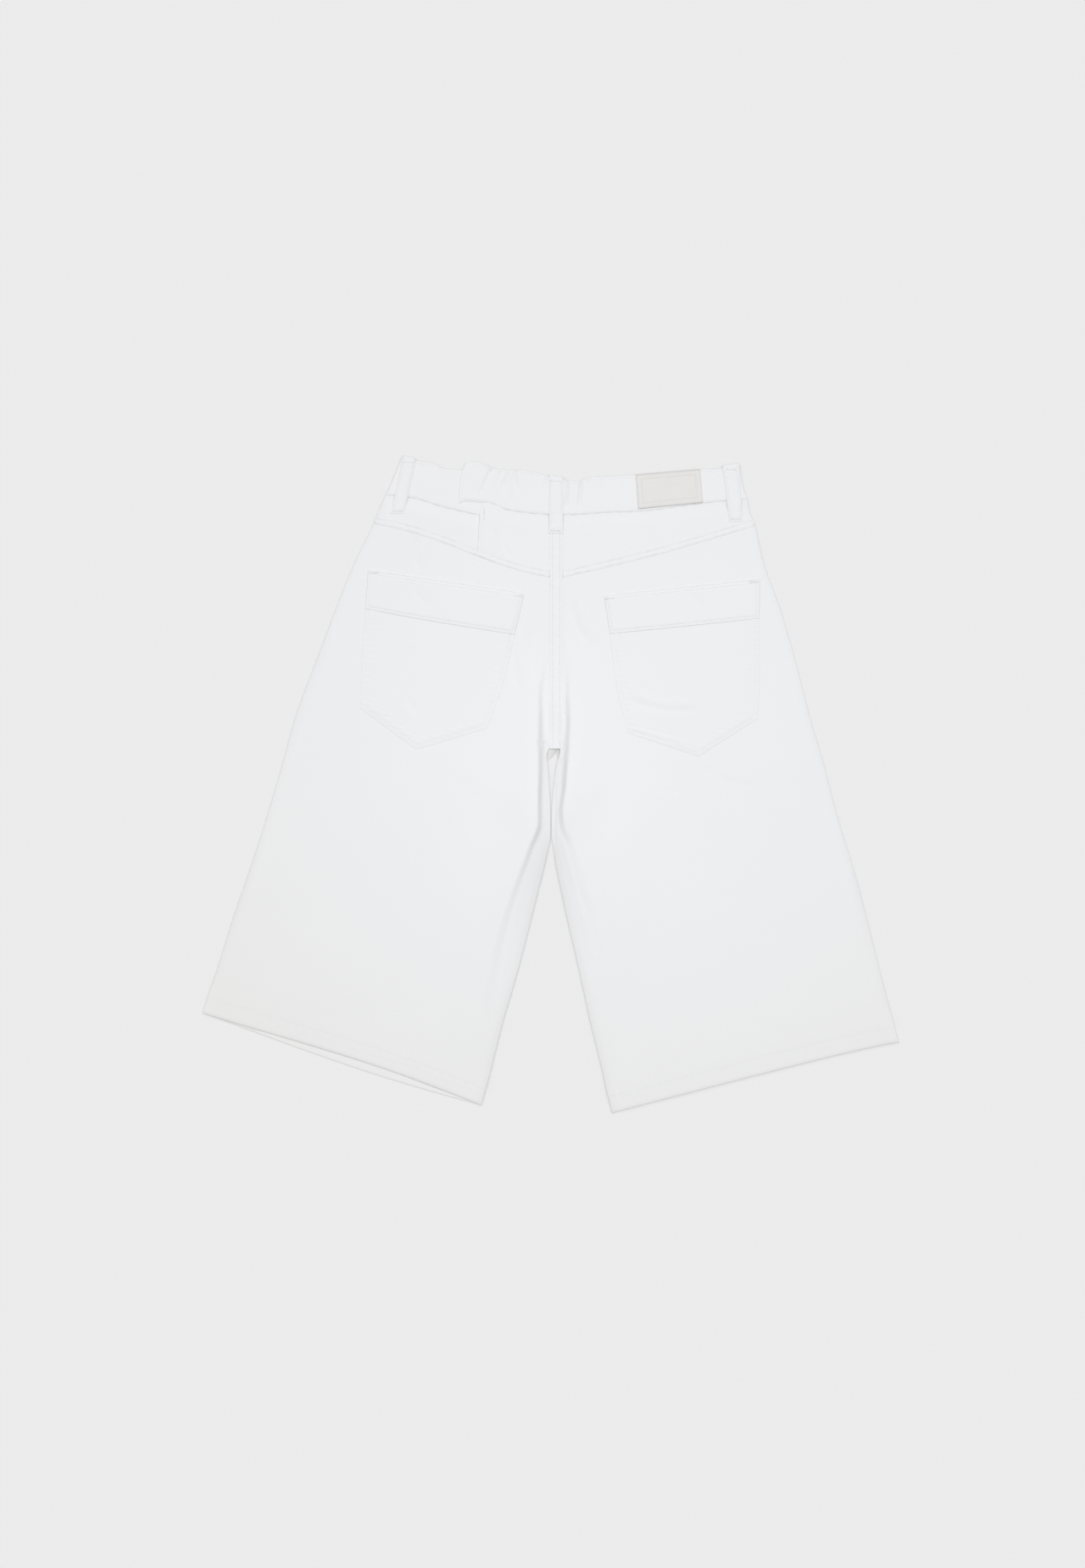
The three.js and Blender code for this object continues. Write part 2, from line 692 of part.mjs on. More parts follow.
function frontWaistband(name, outward) {
  const half = outward < 0 ? "left" : "right";
  const low = frontWaistSeam(outward);
  const top = FRONT_BAND_TOP[half].map(([x, y]) => [x, y - FRONT_WAIST_DROP]);
  const first = half === "left" ? [low[0], FRONT_BAND_END.left, top[0]] : [low[0], top[0]];
  const last = half === "left" ? [low.at(-1), top.at(-1)] : [low.at(-1), FRONT_BAND_END.right, top.at(-1)];
  const edges = { left: path(first), right: path(last), bottom: path(low), top: path(top) };
  const mesh = wall(name, layOn(edges, evenly(FRONT_COLUMNS), evenly(2), () => [0, BAND]));
  if (half === "left") pressButton(mesh);
}

// The waist button, pressed into the cloth that lies on it, in a seat as deep as it is high
function pressButton(band) {
  const centre = [SEAT_X - BUTTON_INSET, BUTTON_Y];
  const disc = (radius, height) => {
    const geometry = new THREE.CylinderGeometry(radius, radius, height, 32);
    return geometry.rotateX(Math.PI / 2).translate(...centre, height / 2);
  };
  const seat = disc(BUTTON_RADIUS + GAP, BUTTON_HEIGHT + GAP + 1).translate(0, 0, -1);
  band.geometry = toGeometry(toSolid(band.geometry).subtract(toSolid(seat)));
  add("waist_button", disc(BUTTON_RADIUS, BUTTON_HEIGHT), metal);
}

function toSolid(geometry) {
  const bare = geometry.clone();
  bare.deleteAttribute("normal");
  bare.deleteAttribute("uv");
  const merged = mergeVertices(bare);
  return new wasm.Manifold(
    new wasm.Mesh({
      numProp: 3,
      vertProperties: Float32Array.from(merged.attributes.position.array),
      triVerts: Uint32Array.from(merged.index.array),
    }),
  );
}

function toGeometry(solid) {
  const { vertProperties, triVerts } = solid.getMesh();
  const geometry = new THREE.BufferGeometry();
  geometry.setAttribute("position", new THREE.BufferAttribute(vertProperties, 3));
  return geometry.setIndex(new THREE.BufferAttribute(triVerts, 1));
}

const SHIELD = { low: 110, high: 262, halfLow: 13, halfHigh: 19 };

// Fly shield, which closes the centre front from behind
function flyShield() {
  const { low, high, halfLow, halfHigh } = SHIELD;
  const shape = corners([
    [SEAT_X - halfLow, low],
    [SEAT_X - halfHigh, high],
    [SEAT_X + halfLow, low],
    [SEAT_X + halfHigh, high],
  ]);
  const faces = () => [CLOTH + GAP, 2 * CLOTH + GAP];
  wall("fly_shield", layOn(shape, [0, 1], evenly(4), faces));
}

// Felled seams, as raised bands over the seam between two pieces
const FELL_START = 0.004; // share of a yoke seam at which its fell begins, beside the side seam
const SEAT_FELL = { low: 39.8, high: 266.4, left: SEAT_X - 6.1 };

function fells() {
  const { low, high, left } = SEAT_FELL;
  const right = left + SEAT_FELL_WIDTH;
  const seat = corners([
    [left, low],
    [left, high],
    [right, low],
    [right, high],
  ]);
  wall("seat_fell", layOn(seat, evenly(4), evenly(26), layer(GAP, FELL)));
  const raised = (x) => yokeLap(x) * smooth((x - FELL_LAP.from) / FELL_LAP.slope);
  yokeFell("yoke_fell_left", LEFT_YOKE, -1, raised);
  yokeFell("yoke_fell_right", RIGHT_YOKE, 1, () => 0);
}

// A strip along a yoke seam, from beside the side seam to beside the seat fell
function yokeFell(name, yoke, outward, lift) {
  const seam = bowed(yoke.from, yoke.to, yoke);
  const last = yokeShare(yoke, SEAT_X + outward * (SEAT_FELL_WIDTH / 2 + 4 * GAP));
  const low = moved((share) => seam(mix(FELL_START, last, share)), 0, -YOKE_FELL_DROP);
  const high = moved(low, 0, YOKE_FELL_WIDTH);
  const [side, seat] = [path([low(0), high(0)]), path([low(1), high(1)])];
  const edges =
    outward < 0
      ? { left: side, right: seat, bottom: low, top: high }
      : { left: seat, right: side, bottom: reversed(low), top: reversed(high) };
  const us = [0, 0.01, 0.03, 0.06, ...evenly(24, 0.1, 1)];
  const across = outward < 0 ? us : us.map((u) => 1 - u).toReversed();
  wall(name, layOn(edges, across, evenly(3), (x, y) => layer(GAP + lift(x), FELL)(x, y)));
}

// Patch pockets, each with a band across its opening
function pocket(side, { left, right, tip, bandLow: low }) {
  const body = {
    left: path(left),
    right: path(right),
    bottom: path([left[0], tip, right[0]]),
    top: path([left.at(-1), right.at(-1)]),
  };
  const tipShare = body.bottom.stops[1];
  const us = [...evenly(6, 0, tipShare), ...evenly(6, tipShare, 1).slice(1)];
  wall("pocket_" + side, layOn(body, us, evenly(9), layer(GAP, CLOTH)));
  const inwards = ([x, y], across, up) => [x + across * BAND_INSET, y + up * BAND_INSET];
  const [topLeft, topRight] = [inwards(left.at(-1), 1, -1), inwards(right.at(-1), -1, -1)];
  const band = {
    left: path([inwards(low[0], 1, 0), topLeft]),
    right: path([inwards(low.at(-1), -1, 0), topRight]),
    bottom: path(low),
    top: path([topLeft, topRight]),
  };
  wall("pocket_band_" + side, layOn(band, evenly(12), evenly(3), layer(CLOTH + 2 * GAP, CLOTH)));
}

// Belt loops, sewn down at the foot and turned over the top edge of the waistband
function beltLoop(name, points, atFoot, above) {
  const edges = corners(points);
  const point = stretch(edges);
  const us = evenly(3);
  const length = Math.hypot(points[1][0] - points[0][0], points[1][1] - points[0][1]);
  const foot = [0, 2, 5, 9].map((y) => y / length);
  const rows = layOn(edges, us, [...foot, ...evenly(5, 0.3, 1)], (x, y, u, v) => {
    const rest = mix(atFoot, above, smooth((v * length - 3) / 7));
    return layer(rest, CLOTH)(x, y);
  });
  const turned = BAND + GAP;
  const clear = 0.4; // from the waistband's top edge to the turned end of the loop
  const overEdge = (beyond, low, high) =>
    us.map((u) => {
      const [x, y] = point(u, 1);
      const top = layer(above, CLOTH)(x, y)[1];
      return [x, y + beyond, low ?? top - CLOTH, top - high];
    });
  rows.push(overEdge(clear, undefined, 0.1), overEdge(clear + 0.02, turned, 0.1));
  rows.push(overEdge(clear + 1.1, turned, 0.7));
  wall(name, rows);
}

backPanel("back_panel_left", LEFT, LEFT_YOKE);
backPanel("back_panel_right", RIGHT, RIGHT_YOKE);
frontPanel("front_panel_left", LEFT);
frontPanel("front_panel_right", RIGHT);
yokes();
waistbands();
flyShield();
fells();
pocket("left", LEFT_POCKET);
pocket("right", RIGHT_POCKET);
beltLoop("belt_loop_left", LEFT_LOOP, GAP, BAND_PROUD + GAP);
beltLoop("belt_loop_centre", CENTRE_LOOP, FELL + 2 * GAP, FELL + 2 * GAP);
beltLoop("belt_loop_right", RIGHT_LOOP, GAP, BAND_PROUD + GAP);
wall("waist_patch", layOn(corners(WAIST_PATCH), evenly(10), evenly(3), layer(BAND_PROUD + GAP, PATCH)), leather);

export default garment;
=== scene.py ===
# %% [markdown]
# # White denim shorts, laid face down
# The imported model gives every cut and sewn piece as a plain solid. This lesson makes the same pieces again
# as soft cloth, each where its solid is: a wall of denim on a dense grid, with rounded folded edges, the
# creases of a pair of shorts laid on a table, and real stitches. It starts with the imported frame.

# %% Load the frame
import math

import bpy
import numpy as np
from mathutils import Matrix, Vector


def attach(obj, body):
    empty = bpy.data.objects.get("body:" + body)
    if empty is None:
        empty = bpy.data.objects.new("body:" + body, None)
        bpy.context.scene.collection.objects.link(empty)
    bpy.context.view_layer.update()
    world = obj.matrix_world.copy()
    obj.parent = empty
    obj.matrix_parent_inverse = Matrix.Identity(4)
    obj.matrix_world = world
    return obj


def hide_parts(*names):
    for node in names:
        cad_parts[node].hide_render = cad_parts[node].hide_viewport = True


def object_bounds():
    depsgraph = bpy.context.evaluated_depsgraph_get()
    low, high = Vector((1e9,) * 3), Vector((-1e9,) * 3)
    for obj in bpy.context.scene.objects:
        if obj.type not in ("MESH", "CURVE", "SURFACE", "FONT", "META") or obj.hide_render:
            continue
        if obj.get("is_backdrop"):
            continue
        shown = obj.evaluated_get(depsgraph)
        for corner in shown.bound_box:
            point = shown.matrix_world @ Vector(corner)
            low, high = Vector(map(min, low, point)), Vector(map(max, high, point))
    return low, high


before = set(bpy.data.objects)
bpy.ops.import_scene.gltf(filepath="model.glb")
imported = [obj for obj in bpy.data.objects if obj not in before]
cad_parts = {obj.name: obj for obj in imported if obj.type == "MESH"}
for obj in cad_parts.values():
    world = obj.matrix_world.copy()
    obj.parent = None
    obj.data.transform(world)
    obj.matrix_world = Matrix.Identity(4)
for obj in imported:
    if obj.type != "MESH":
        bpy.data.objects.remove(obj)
cad_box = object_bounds()
scene = bpy.context.scene
MM = 0.001
print("nodes in the frame:", len(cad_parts))

# %% [markdown]
# ## Camera
# The photograph looks straight down from about three metres, so a long lens on an overhead camera gives its
# flat perspective. The long side of the sensor is upright, with the waist at the top of the picture.

# %% Overhead camera
CAMERA_LENS = 70
CAMERA_PLACE = (-0.008, 0.0004, 3.026)

camera_data = bpy.data.cameras.new("overhead_camera")
camera_data.lens = CAMERA_LENS
camera_data.sensor_width = 36
camera = bpy.data.objects.new("overhead_camera", camera_data)
camera.location = CAMERA_PLACE
scene.collection.objects.link(camera)
scene.camera = camera
print("camera height in metres:", camera.location.z)

# %% [markdown]
# ## Light and floor
# White cloth on a white table needs very soft light, or its folds burn out. A wide sun,
# high up and a little towards the waist, shades whatever slopes, and an even sky fills the shadows.

# %% Soft light
SKY_LIGHT = 0.46
SUN_LIGHT = 1.84
SUN_SPREAD = math.radians(70)
SUN_PLACE = (0.0, 0.4, 1.8)

sky = bpy.data.worlds.new("soft_sky")
sky.use_nodes = True
sky.node_tree.nodes["Background"].inputs["Color"].default_value = (1, 1, 1, 1)
sky.node_tree.nodes["Background"].inputs["Strength"].default_value = SKY_LIGHT
scene.world = sky

sun_data = bpy.data.lights.new("wide_sun", "SUN")
sun_data.energy = SUN_LIGHT
sun_data.angle = SUN_SPREAD
sun = bpy.data.objects.new("wide_sun", sun_data)
sun.location = SUN_PLACE
sun.rotation_euler = (-sun.location).to_track_quat("-Z", "Y").to_euler()
scene.collection.objects.link(sun)
scene.view_settings.view_transform = "Standard"
print("sun's height in degrees:", round(math.degrees(math.atan2(SUN_PLACE[2], math.hypot(*SUN_PLACE[:2])))))

# %% [markdown]
# ## Shader sums as Python sums
# A material is a net of nodes. Written out it is long and hard to read, so one small class holds a socket
# and lets plus, times, power and one over a wire add the Math nodes, with a short method for each node
# that cloth needs often.

# %% A socket that can be added and multiplied


def plug(node, inputs):
    """Gives a node's inputs their values, or a link where the value is a wire."""
    for name, value in inputs.items():
        if isinstance(value, Wire):
            value.tree.links.new(value.socket, node.inputs[name])
        else:
            node.inputs[name].default_value = value


class Wire:
    """An output socket of a node tree, with arithmetic that adds Math nodes."""

    def __init__(self, tree, socket=None):
        self.tree = tree
        self.socket = socket

    def node(self, kind, settings=None, inputs=None, output=0):
        """Adds a node, sets its settings and inputs, and returns one output."""
        made = self.tree.nodes.new(kind)
        for name, value in (settings or {}).items():
            setattr(made, name, value)
        plug(made, inputs or {})
        return Wire(self.tree, made.outputs[output])

    def noise(self, scale, detail, roughness=0.5):
        """Clouds at this place, between 0 and 1."""
        inputs = {"Vector": self, "Scale": scale, "Detail": detail, "Roughness": roughness}
        return self.node("ShaderNodeTexNoise", {}, inputs)

    def blend(self, *colours):
        """A colour between two by this share, each a wire or its red, green and blue."""
        first, second = (colour if isinstance(colour, Wire) else (*colour, 1) for colour in colours)
        return self.node("ShaderNodeMix", {"data_type": "RGBA"}, {0: self, 6: first, 7: second}, output=2)

    def bump(self, strength, distance):
        """The normal of a surface that has this height."""
        return self.node("ShaderNodeBump", {}, {"Height": self, "Strength": strength, "Distance": distance})

    def square_away(self, place, reach):
        """The square of the distance from here to a place, counted in reaches."""
        away = self.node("ShaderNodeVectorMath", {"operation": "DISTANCE"}, {0: self, 1: place}, output=1)
        return (away * (1 / reach)) ** 2.0

    def sum(self, operation, first, second=0.0):
        """A Math node on two values or wires."""
        return self.node("ShaderNodeMath", {"operation": operation}, {0: first, 1: second})

    def __add__(self, other):
        return self.sum("ADD", self, other)

    def __mul__(self, other):
        return self.sum("MULTIPLY", self, other)

    def __rtruediv__(self, other):
        return self.sum("DIVIDE", other, self)

    def __pow__(self, other):
        return self.sum("POWER", self, other)

    def sine(self):
        return self.sum("SINE", self)


def new_material(name):
    """An empty material, its surface shader and a bare wire to start its sums from."""
    material = bpy.data.materials.new(name)
    material.use_nodes = True
    return material, material.node_tree.nodes["Principled BSDF"], Wire(material.node_tree)


def place_on_object(wire):
    """Coordinates in the object's own space, in metres."""
    return wire.node("ShaderNodeTexCoord", output=3)


def stored_tone(wire):
    """The tone that set_tone stores on a mesh."""
    return wire.node("ShaderNodeAttribute", {"attribute_name": "tone"}, output=2)


# %% [markdown]
# ## Denim
# Denim is a twill: each thread passes over two or three others and steps sideways, which shows as fine
# diagonal ribs about half a millimetre apart. A sine across the cloth's own coordinates gives the ribs, a
# slower noise gives the uneven yarn, and both feed only bump and a faint tint.

# %% Denim materials
RIB_PITCH = 0.56 * MM
RIB_ANGLE = math.radians(62)
# Painted shade: the denim is drawn darker the farther it lies from one place, standing in for light that
# falls off towards the hems and sides.
PAINTED_FALLOFF_CENTRE = (0.07, 0.13, 0.0)
PAINTED_FALLOFF_REACH = 0.58  # distance from there at which the painted shade is full
FALLOFF_SHADE_WHITE = (0.775, 0.768, 0.759)
# Painted shade: the grey that the stored tone mixes into the denim, drawing folds, rolled edges, gathers and
# stitch rows darker.
PAINTED_SHADE_GREY = (0.66, 0.655, 0.65)
# Painted light: the denim is drawn whiter round the crotch, a pool of light painted into its colour.
CROTCH_PLACE = (0.004, 0.02, 0.0)
CROTCH_REACH = 0.1  # distance from there at which half of the painted light is left
PAINTED_LIGHT_WHITE = (0.855, 0.863, 0.879)


def denim(name, tint, shade, rib=0.05):
    """Twill: height = sine across the ribs, broken by yarn noise; tint = a mix of two close whites, with
    painted shade away from one place, painted light near the crotch and painted shade from the stored tone.
    """
    material, shader, wire = new_material(name)
    cloth = wire.node("ShaderNodeUVMap", {"uv_map": "cloth"})
    along, up = (wire.node("ShaderNodeSeparateXYZ", inputs={0: cloth}, output=axis) for axis in (0, 1))
    turn = 2 * math.pi / RIB_PITCH
    yarn = cloth.noise(900.0, 2.0, 0.6)
    cloud = cloth.noise(38.0, 5.0, 0.62)
    patchy = cloth.noise(7.0, 3.0)
    ribs = (along * (turn * math.sin(RIB_ANGLE)) + up * (turn * math.cos(RIB_ANGLE)) + yarn * 3.2).sine()
    height = (ribs * 0.5 + yarn * 0.9) * rib + cloud * 0.16 + patchy * 0.22
    place = place_on_object(wire)
    fresh = (cloud * 0.34 + patchy * 0.3 + ribs * 0.05 + 0.16).blend(shade, tint)
    # Painted shade: darker away from one place.
    falloff_shaded = place.square_away(PAINTED_FALLOFF_CENTRE, PAINTED_FALLOFF_REACH).blend(fresh, FALLOFF_SHADE_WHITE)
    # Painted light: whiter near the crotch.
    painted_light = 1 / (place.square_away(CROTCH_PLACE, CROTCH_REACH) + 1)
    # Base colour: two close whites, then the painted shade and painted light above, then the painted shade of
    # the stored tone.
    looks = {
        "Base Color": stored_tone(wire).blend(painted_light.blend(falloff_shaded, PAINTED_LIGHT_WHITE), PAINTED_SHADE_GREY),
        "Normal": height.bump(0.55, 0.8 * MM),
        "Roughness": 0.94,
        "Specular IOR Level": 0.22,
        "Sheen Weight": 0.04,
        "Sheen Roughness": 0.5,
    }
    plug(shader, looks)
    return material


LEG_WHITE = denim("leg_denim", (0.838, 0.846, 0.864), (0.81, 0.818, 0.835))
BAND_WHITE = denim("waistband_denim", (0.848, 0.853, 0.868), (0.818, 0.823, 0.84), rib=0.06)
SEAM_WHITE = denim("seam_denim", (0.845, 0.852, 0.868), (0.812, 0.82, 0.838), rib=0.06)
print("ribs per centimetre:", round(10 * MM / RIB_PITCH))

# %% [markdown]
# The floor is a plain pale table top. Half of its tone is a glow of its own, as on a light table, which
# keeps the shadows beside thin cloth as faint as in the photograph.

# %% Floor
FLOOR_HALF = 9.0
FLOOR_DROP = -0.2 * MM
FLOOR_GREY = (0.44, 0.44, 0.44, 1)
FLOOR_GLOW = 0.378

floor_mesh = bpy.data.meshes.new("floor")
corners = [(x * FLOOR_HALF, y * FLOOR_HALF, FLOOR_DROP) for x, y in ((-1, -1), (1, -1), (1, 1), (-1, 1))]
floor_mesh.from_pydata(corners, [], [(0, 1, 2, 3)])
floor = bpy.data.objects.new("floor", floor_mesh)
scene.collection.objects.link(floor)
floor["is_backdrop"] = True
floor_material, floor_shader, _ = new_material("table_top")
floor_looks = {
    "Base Color": FLOOR_GREY,
    "Emission Color": (1, 1, 1, 1),
    "Emission Strength": FLOOR_GLOW,
    "Roughness": 0.9,
    "Specular IOR Level": 0.1,
}
plug(floor_shader, floor_looks)
floor_mesh.materials.append(floor_material)
print("floor side in metres:", 2 * FLOOR_HALF)

# %% [markdown]
# ## Measures
# All sizes are in millimetres until a mesh is made. The tables hold the outlines of the garment: x to the
# right, y to the waist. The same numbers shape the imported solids, so a soft piece covers its solid.

# %% Thicknesses and places
CLOTH = 1.2  # one layer of heavy denim
HEM = 2.0  # denim turned up twice
BAND = 2.2  # waistband, folded double
FELL = 1.0  # what a felled seam stands proud
PATCH = 1.1  # leather-like patch
GAP = 0.3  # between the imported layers
TOUCH = 0.05  # between soft layers that lie on each other
ROUNDEST = 1.0  # largest radius of a folded edge
BAND_SEAM = 0.5  # between the waistband and what hangs from it
SEAT_X = 5.2  # centre back seam
HEM_DEPTH = 15  # height of the turned hem
LOFT = 3.4  # how far the back stands off the front
SIDE_ROLL = 13  # width over which the side seam slopes down
WAIST_LIFT = 1.2  # lift of the back over the front waistband
BAND_PROUD = 0.8  # height of the waistband above the yoke
YOKE_TUCK = 2.4  # how far the yoke runs up under the edge of the waistband
FOLD_SPREAD = 32  # length of the slope behind a fold
INNER_ROLL = 22  # width over which an inner leg edge slopes down
FRONT_TUCK = 1.5  # how far the front's inner leg edge hides behind the back's
SIDE_BAND_END = -70.3  # where the waistband's side section stops showing
SIDE_BAND_TUCK = 2.5  # how far it runs on under the centre yoke
SLIT_X = -71  # slit in the left yoke
YOKE_SLIT_TOP = -70  # where the slit meets the waistband
SLIT_LAP = 8  # how far the side yoke runs on under the centre yoke
ON_BAND = BAND_PROUD + TOUCH  # rest of what lies on the waistband, over the yoke's height
BUTTON = (-7.8, 285, 8.5, 1)  # waist button: x, y, radius, height
STITCH_STEP = 3.3  # from one stitch to the next
STITCH_LENGTH = 2.7
THREAD_WIDTH = 0.23

# %% Side seams
LEFT_SIDE = [
    [-345.7, -226.8], [-330.1, -180.6], [-314.2, -130.2], [-296.9, -79.8], [-280.6, -29.4],
    [-265.9, 21], [-251.6, 71.4], [-232.7, 121.8], [-213.8, 172.2], [-193.2, 222.6],
    [-175.1, 259.6], [-169.9, 273], [-158.3, 298.2], [-147.4, 324.6],
]
RIGHT_SIDE = [
    [345.7, -256.2], [325.9, -180.6], [313.3, -130.2], [299.5, -79.8], [283.9, -29.4], [270.9, 21],
    [256.2, 71.4], [243.2, 121.8], [228.5, 172.2], [210.8, 222.6], [202.9, 257.9], [197, 273],
    [190.3, 298.2], [187.7, 317.2],
]

# %% Inner leg edges and the seat seam
SEAT_STOPS = (39.6, 52, 112, 160, 204.6)  # heights of the points on the seat seam
LEFT_INNER = [
    [-68.5, -318.4], [-64.6, -303.6], [-58.4, -281.4], [-52.2, -256], [-45.8, -231], [-38.3, -206],
    [-31.1, -180.6], [-24.4, -155], [-18.1, -130.2], [-11.8, -105], [-5.5, -79.8], [-1.8, -63],
    [0.1, -52], [0.1, -38], [0, -23], [-0.6, -8.4], [-1.6, 8], [-2.8, 22], [-3.4, 28], [-2.4, 33],
    [-0.2, 36.4], [2.4, 38.6],
    *[[SEAT_X - GAP / 2, y] for y in SEAT_STOPS],
]
RIGHT_INNER = [
    [60.9, -325.9], [57.2, -311], [50.4, -281.4], [44.3, -256], [38.2, -231], [32.8, -206],
    [27.3, -180.6], [21.4, -155], [15.5, -130.2], [10.2, -105], [5, -79.8], [2.6, -63], [0.9, -52],
    [0.9, -38], [1.2, -23], [2.3, -8.4], [4, 8], [6.2, 22], [8.4, 28], [9.2, 33], [8.6, 36.4],
    [7.4, 38.6],
    *[[SEAT_X + GAP / 2, y] for y in SEAT_STOPS],
]

# %% Folds beside the crotch: y, x, rise, width of the step
LEFT_FOLD = [
    [-270, -64, 0, 16],
    [-200, -53, 2, 13],
    [-155.4, -44, 3, 12],
    [-113.4, -32.4, 4, 10],
    [-63, -15.4, 6.2, 7.5],
    [-37.8, -8, 8.4, 5],
    [-14.3, -8, 9, 5],
    [12, -7, 8, 5.6],
    [37, -6.4, 7.2, 6.5],
    [88.2, -6.4, 4, 7],
    [121.8, -3, 1.2, 8],
    [150, -3, 0, 10],
]
RIGHT_FOLD = [
    [-240, 54, 0, 16],
    [-155, 39, 1.2, 14],
    [-105, 25, 1.9, 14],
    [-59.6, 13, 3, 12],
    [-42, 7.6, 5.4, 7],
    [-27.7, 7.4, 7.8, 5],
    [-1.7, 10.6, 9, 5],
    [37, 12.6, 7.2, 6.5],
    [63, 14, 6, 6.5],
    [88.2, 13.2, 4, 7],
    [121.8, 13, 1.2, 8],
    [150, 13, 0, 10],
]

# %% Waistband edges
SIDE_BAND_LOW = [
    [-163.2, 286.6], [-143.2, 284.8], [-129.8, 282.2], [-108.8, 275.5], [-87.8, 270.5], [-70.3, 266.7],
]
SIDE_BAND_TOP = [
    [-147.4, 324.6], [-133.1, 320.9], [-114.7, 317.5], [-107.1, 313.3], [-89.5, 311.6], [-70.3, 310.6],
]
ELASTIC_LOW = [
    [-90.8, 277.4], [-86, 280], [-62.6, 278], [-42.4, 272.2], [-20.6, 268.8], [13, 267.1],
    [59.2, 269.6], [85.3, 270.5], [150.8, 278.6], [174.3, 281], [194.9, 282.5],
]
ELASTIC_TOP = [
    [-81.9, 320], [-72.7, 319.2], [-53.3, 312.5], [-30.7, 311.6], [-13, 308.3], [0.4, 304.9],
    [26.5, 300.7], [38.2, 304.1], [72.7, 305.8], [148.3, 312.1], [168, 313], [178, 316],
    [187.7, 317.2],
]
TAB_END = [[-90.8, 277.4], [-90.3, 294.8], [-87.8, 310], [-81.9, 320]]

# %% Gathers of the elastic: x, slant, depth, half width, lower end
GATHERS = [
    [-69.6, 0.42, 0.9, 1.7, 284],
    [-56, 0.3, 0.4, 1.5, 293],
    [-50, 0.37, 0.9, 1.6, 290],
    [-38.6, 0.1, 0.4, 1.5, 275],
    [-32.4, -0.1, 0.9, 1.6, 290],
    [-19, 0.05, 0.25, 2, 288],
    [-6.2, 0.1, 0.8, 1.7, 289],
    [16.4, 0, 1.4, 1.3, 271],
    [29, 0.04, 1.4, 1.5, 273],
    [36.7, 0, 0.8, 1.5, 292],
    [50, 0.05, 0.25, 2.4, 288],
]

# %% Yokes, pockets, loops and patch
LEFT_YOKE = {"start": (-175.1, 259.6), "end": (SEAT_X, 204.9), "bow": 2.8, "waves": 2}
RIGHT_YOKE = {"start": (202.9, 257.9), "end": (SEAT_X, 204.9), "bow": -3}
YOKE_SLIT = [[-72.7, 235.8], [-71.4, 252], [-70, 278.4]]
LEFT_POCKET = {
    "left": [[-188, 75], [-187.3, 115.1], [-184.4, 161.3], [-181, 212.2]],
    "right": [[-63.4, 55.4], [-47.5, 98.7], [-41, 125.2], [-25.6, 189.2]],
    "tip": [-133, 34.6],
    "band": [[-183.6, 173.9], [-126, 163.2], [-35.4, 148.4]],
}
RIGHT_POCKET = {
    "left": [[76.8, 51], [65.5, 95.8], [58.8, 148.7], [52.8, 186.7]],
    "right": [[205, 64.7], [207.1, 103.3], [207.1, 156.2], [207.9, 203.3]],
    "tip": [146.5, 27.7],
    "band": [[58.7, 149.2], [127, 156], [207.2, 164.4]],
}
LEFT_LOOP = [[-158.3, 268], [-146.4, 324.9], [-144.9, 268], [-133.4, 321.2]]
CENTRE_LOOP = [[-1.5, 248.6], [-1.5, 305.5], [12.5, 248.6], [12.5, 303.1]]
RIGHT_LOOP = [[177, 260.4], [170.2, 314.6], [190.4, 260.4], [187.2, 317]]
WAIST_PATCH = [[86.9, 272.8], [84.3, 306.9], [151, 279.2], [148, 312.4]]

# %% [markdown]
# ## Smooth lines
# A table has few points, and straight lines between them would show as corners on a dense grid. A monotone
# cubic passes through every point without swinging past it, which suits edges of cloth.

# %% Lines through points


def soften(value):
    """Zero up to 0, one from 1, and 3v^2 - 2v^3 between."""
    value = np.clip(value, 0, 1)
    return value * value * (3 - 2 * value)


def mix(a, b, share):
    return a + (b - a) * share


def bell(distance, half):
    """A Gaussian: one at zero, 0.37 at a half width."""
    return np.exp(-((distance / half) ** 2))


def lengths_along(rows):
    """Length of a chain up to each of its points."""
    return np.concatenate([[0], np.cumsum(np.hypot(*np.diff(rows, axis=0).T))])


def between(stops, values, where):
    """Monotone cubic: the slope at a stop is the harmonic mean of the slopes beside it, or zero at a turn."""
    stops, values = np.asarray(stops, float), np.asarray(values, float)
    spans = np.diff(stops)
    rises = np.diff(values) / spans
    product, total = rises[:-1] * rises[1:], rises[:-1] + rises[1:]
    middle = np.where(product > 0, 2 * product / np.where(product > 0, total, 1), 0)
    slopes = np.concatenate([rises[:1], middle, rises[-1:]])
    where = np.clip(where, stops[0], stops[-1])
    i = np.clip(np.searchsorted(stops, where, side="right") - 1, 0, len(spans) - 1)
    t = (where - stops[i]) / spans[i]
    start = (2 * t**3 - 3 * t**2 + 1) * values[i] + (t**3 - 2 * t**2 + t) * spans[i] * slopes[i]
    return start + (3 * t**2 - 2 * t**3) * values[i + 1] + (t**3 - t**2) * spans[i] * slopes[i + 1]


def column(table, where, key, value):
    """One column of a table at values of its key column."""
    rows = np.array(table, float)
    rows = rows[np.argsort(rows[:, key])]
    return between(rows[:, key], rows[:, value], where)


def line(points, sharp=False):
    """A line through points, read at a share of its length, with corners at the points if sharp."""
    rows = np.array(points, float)
    lengths = lengths_along(rows)
    stops = lengths / lengths[-1]
    reader = (lambda s, v, w: np.interp(w, s, v)) if sharp else between
    return lambda share: np.stack([reader(stops, rows[:, k], share) for k in (0, 1)])


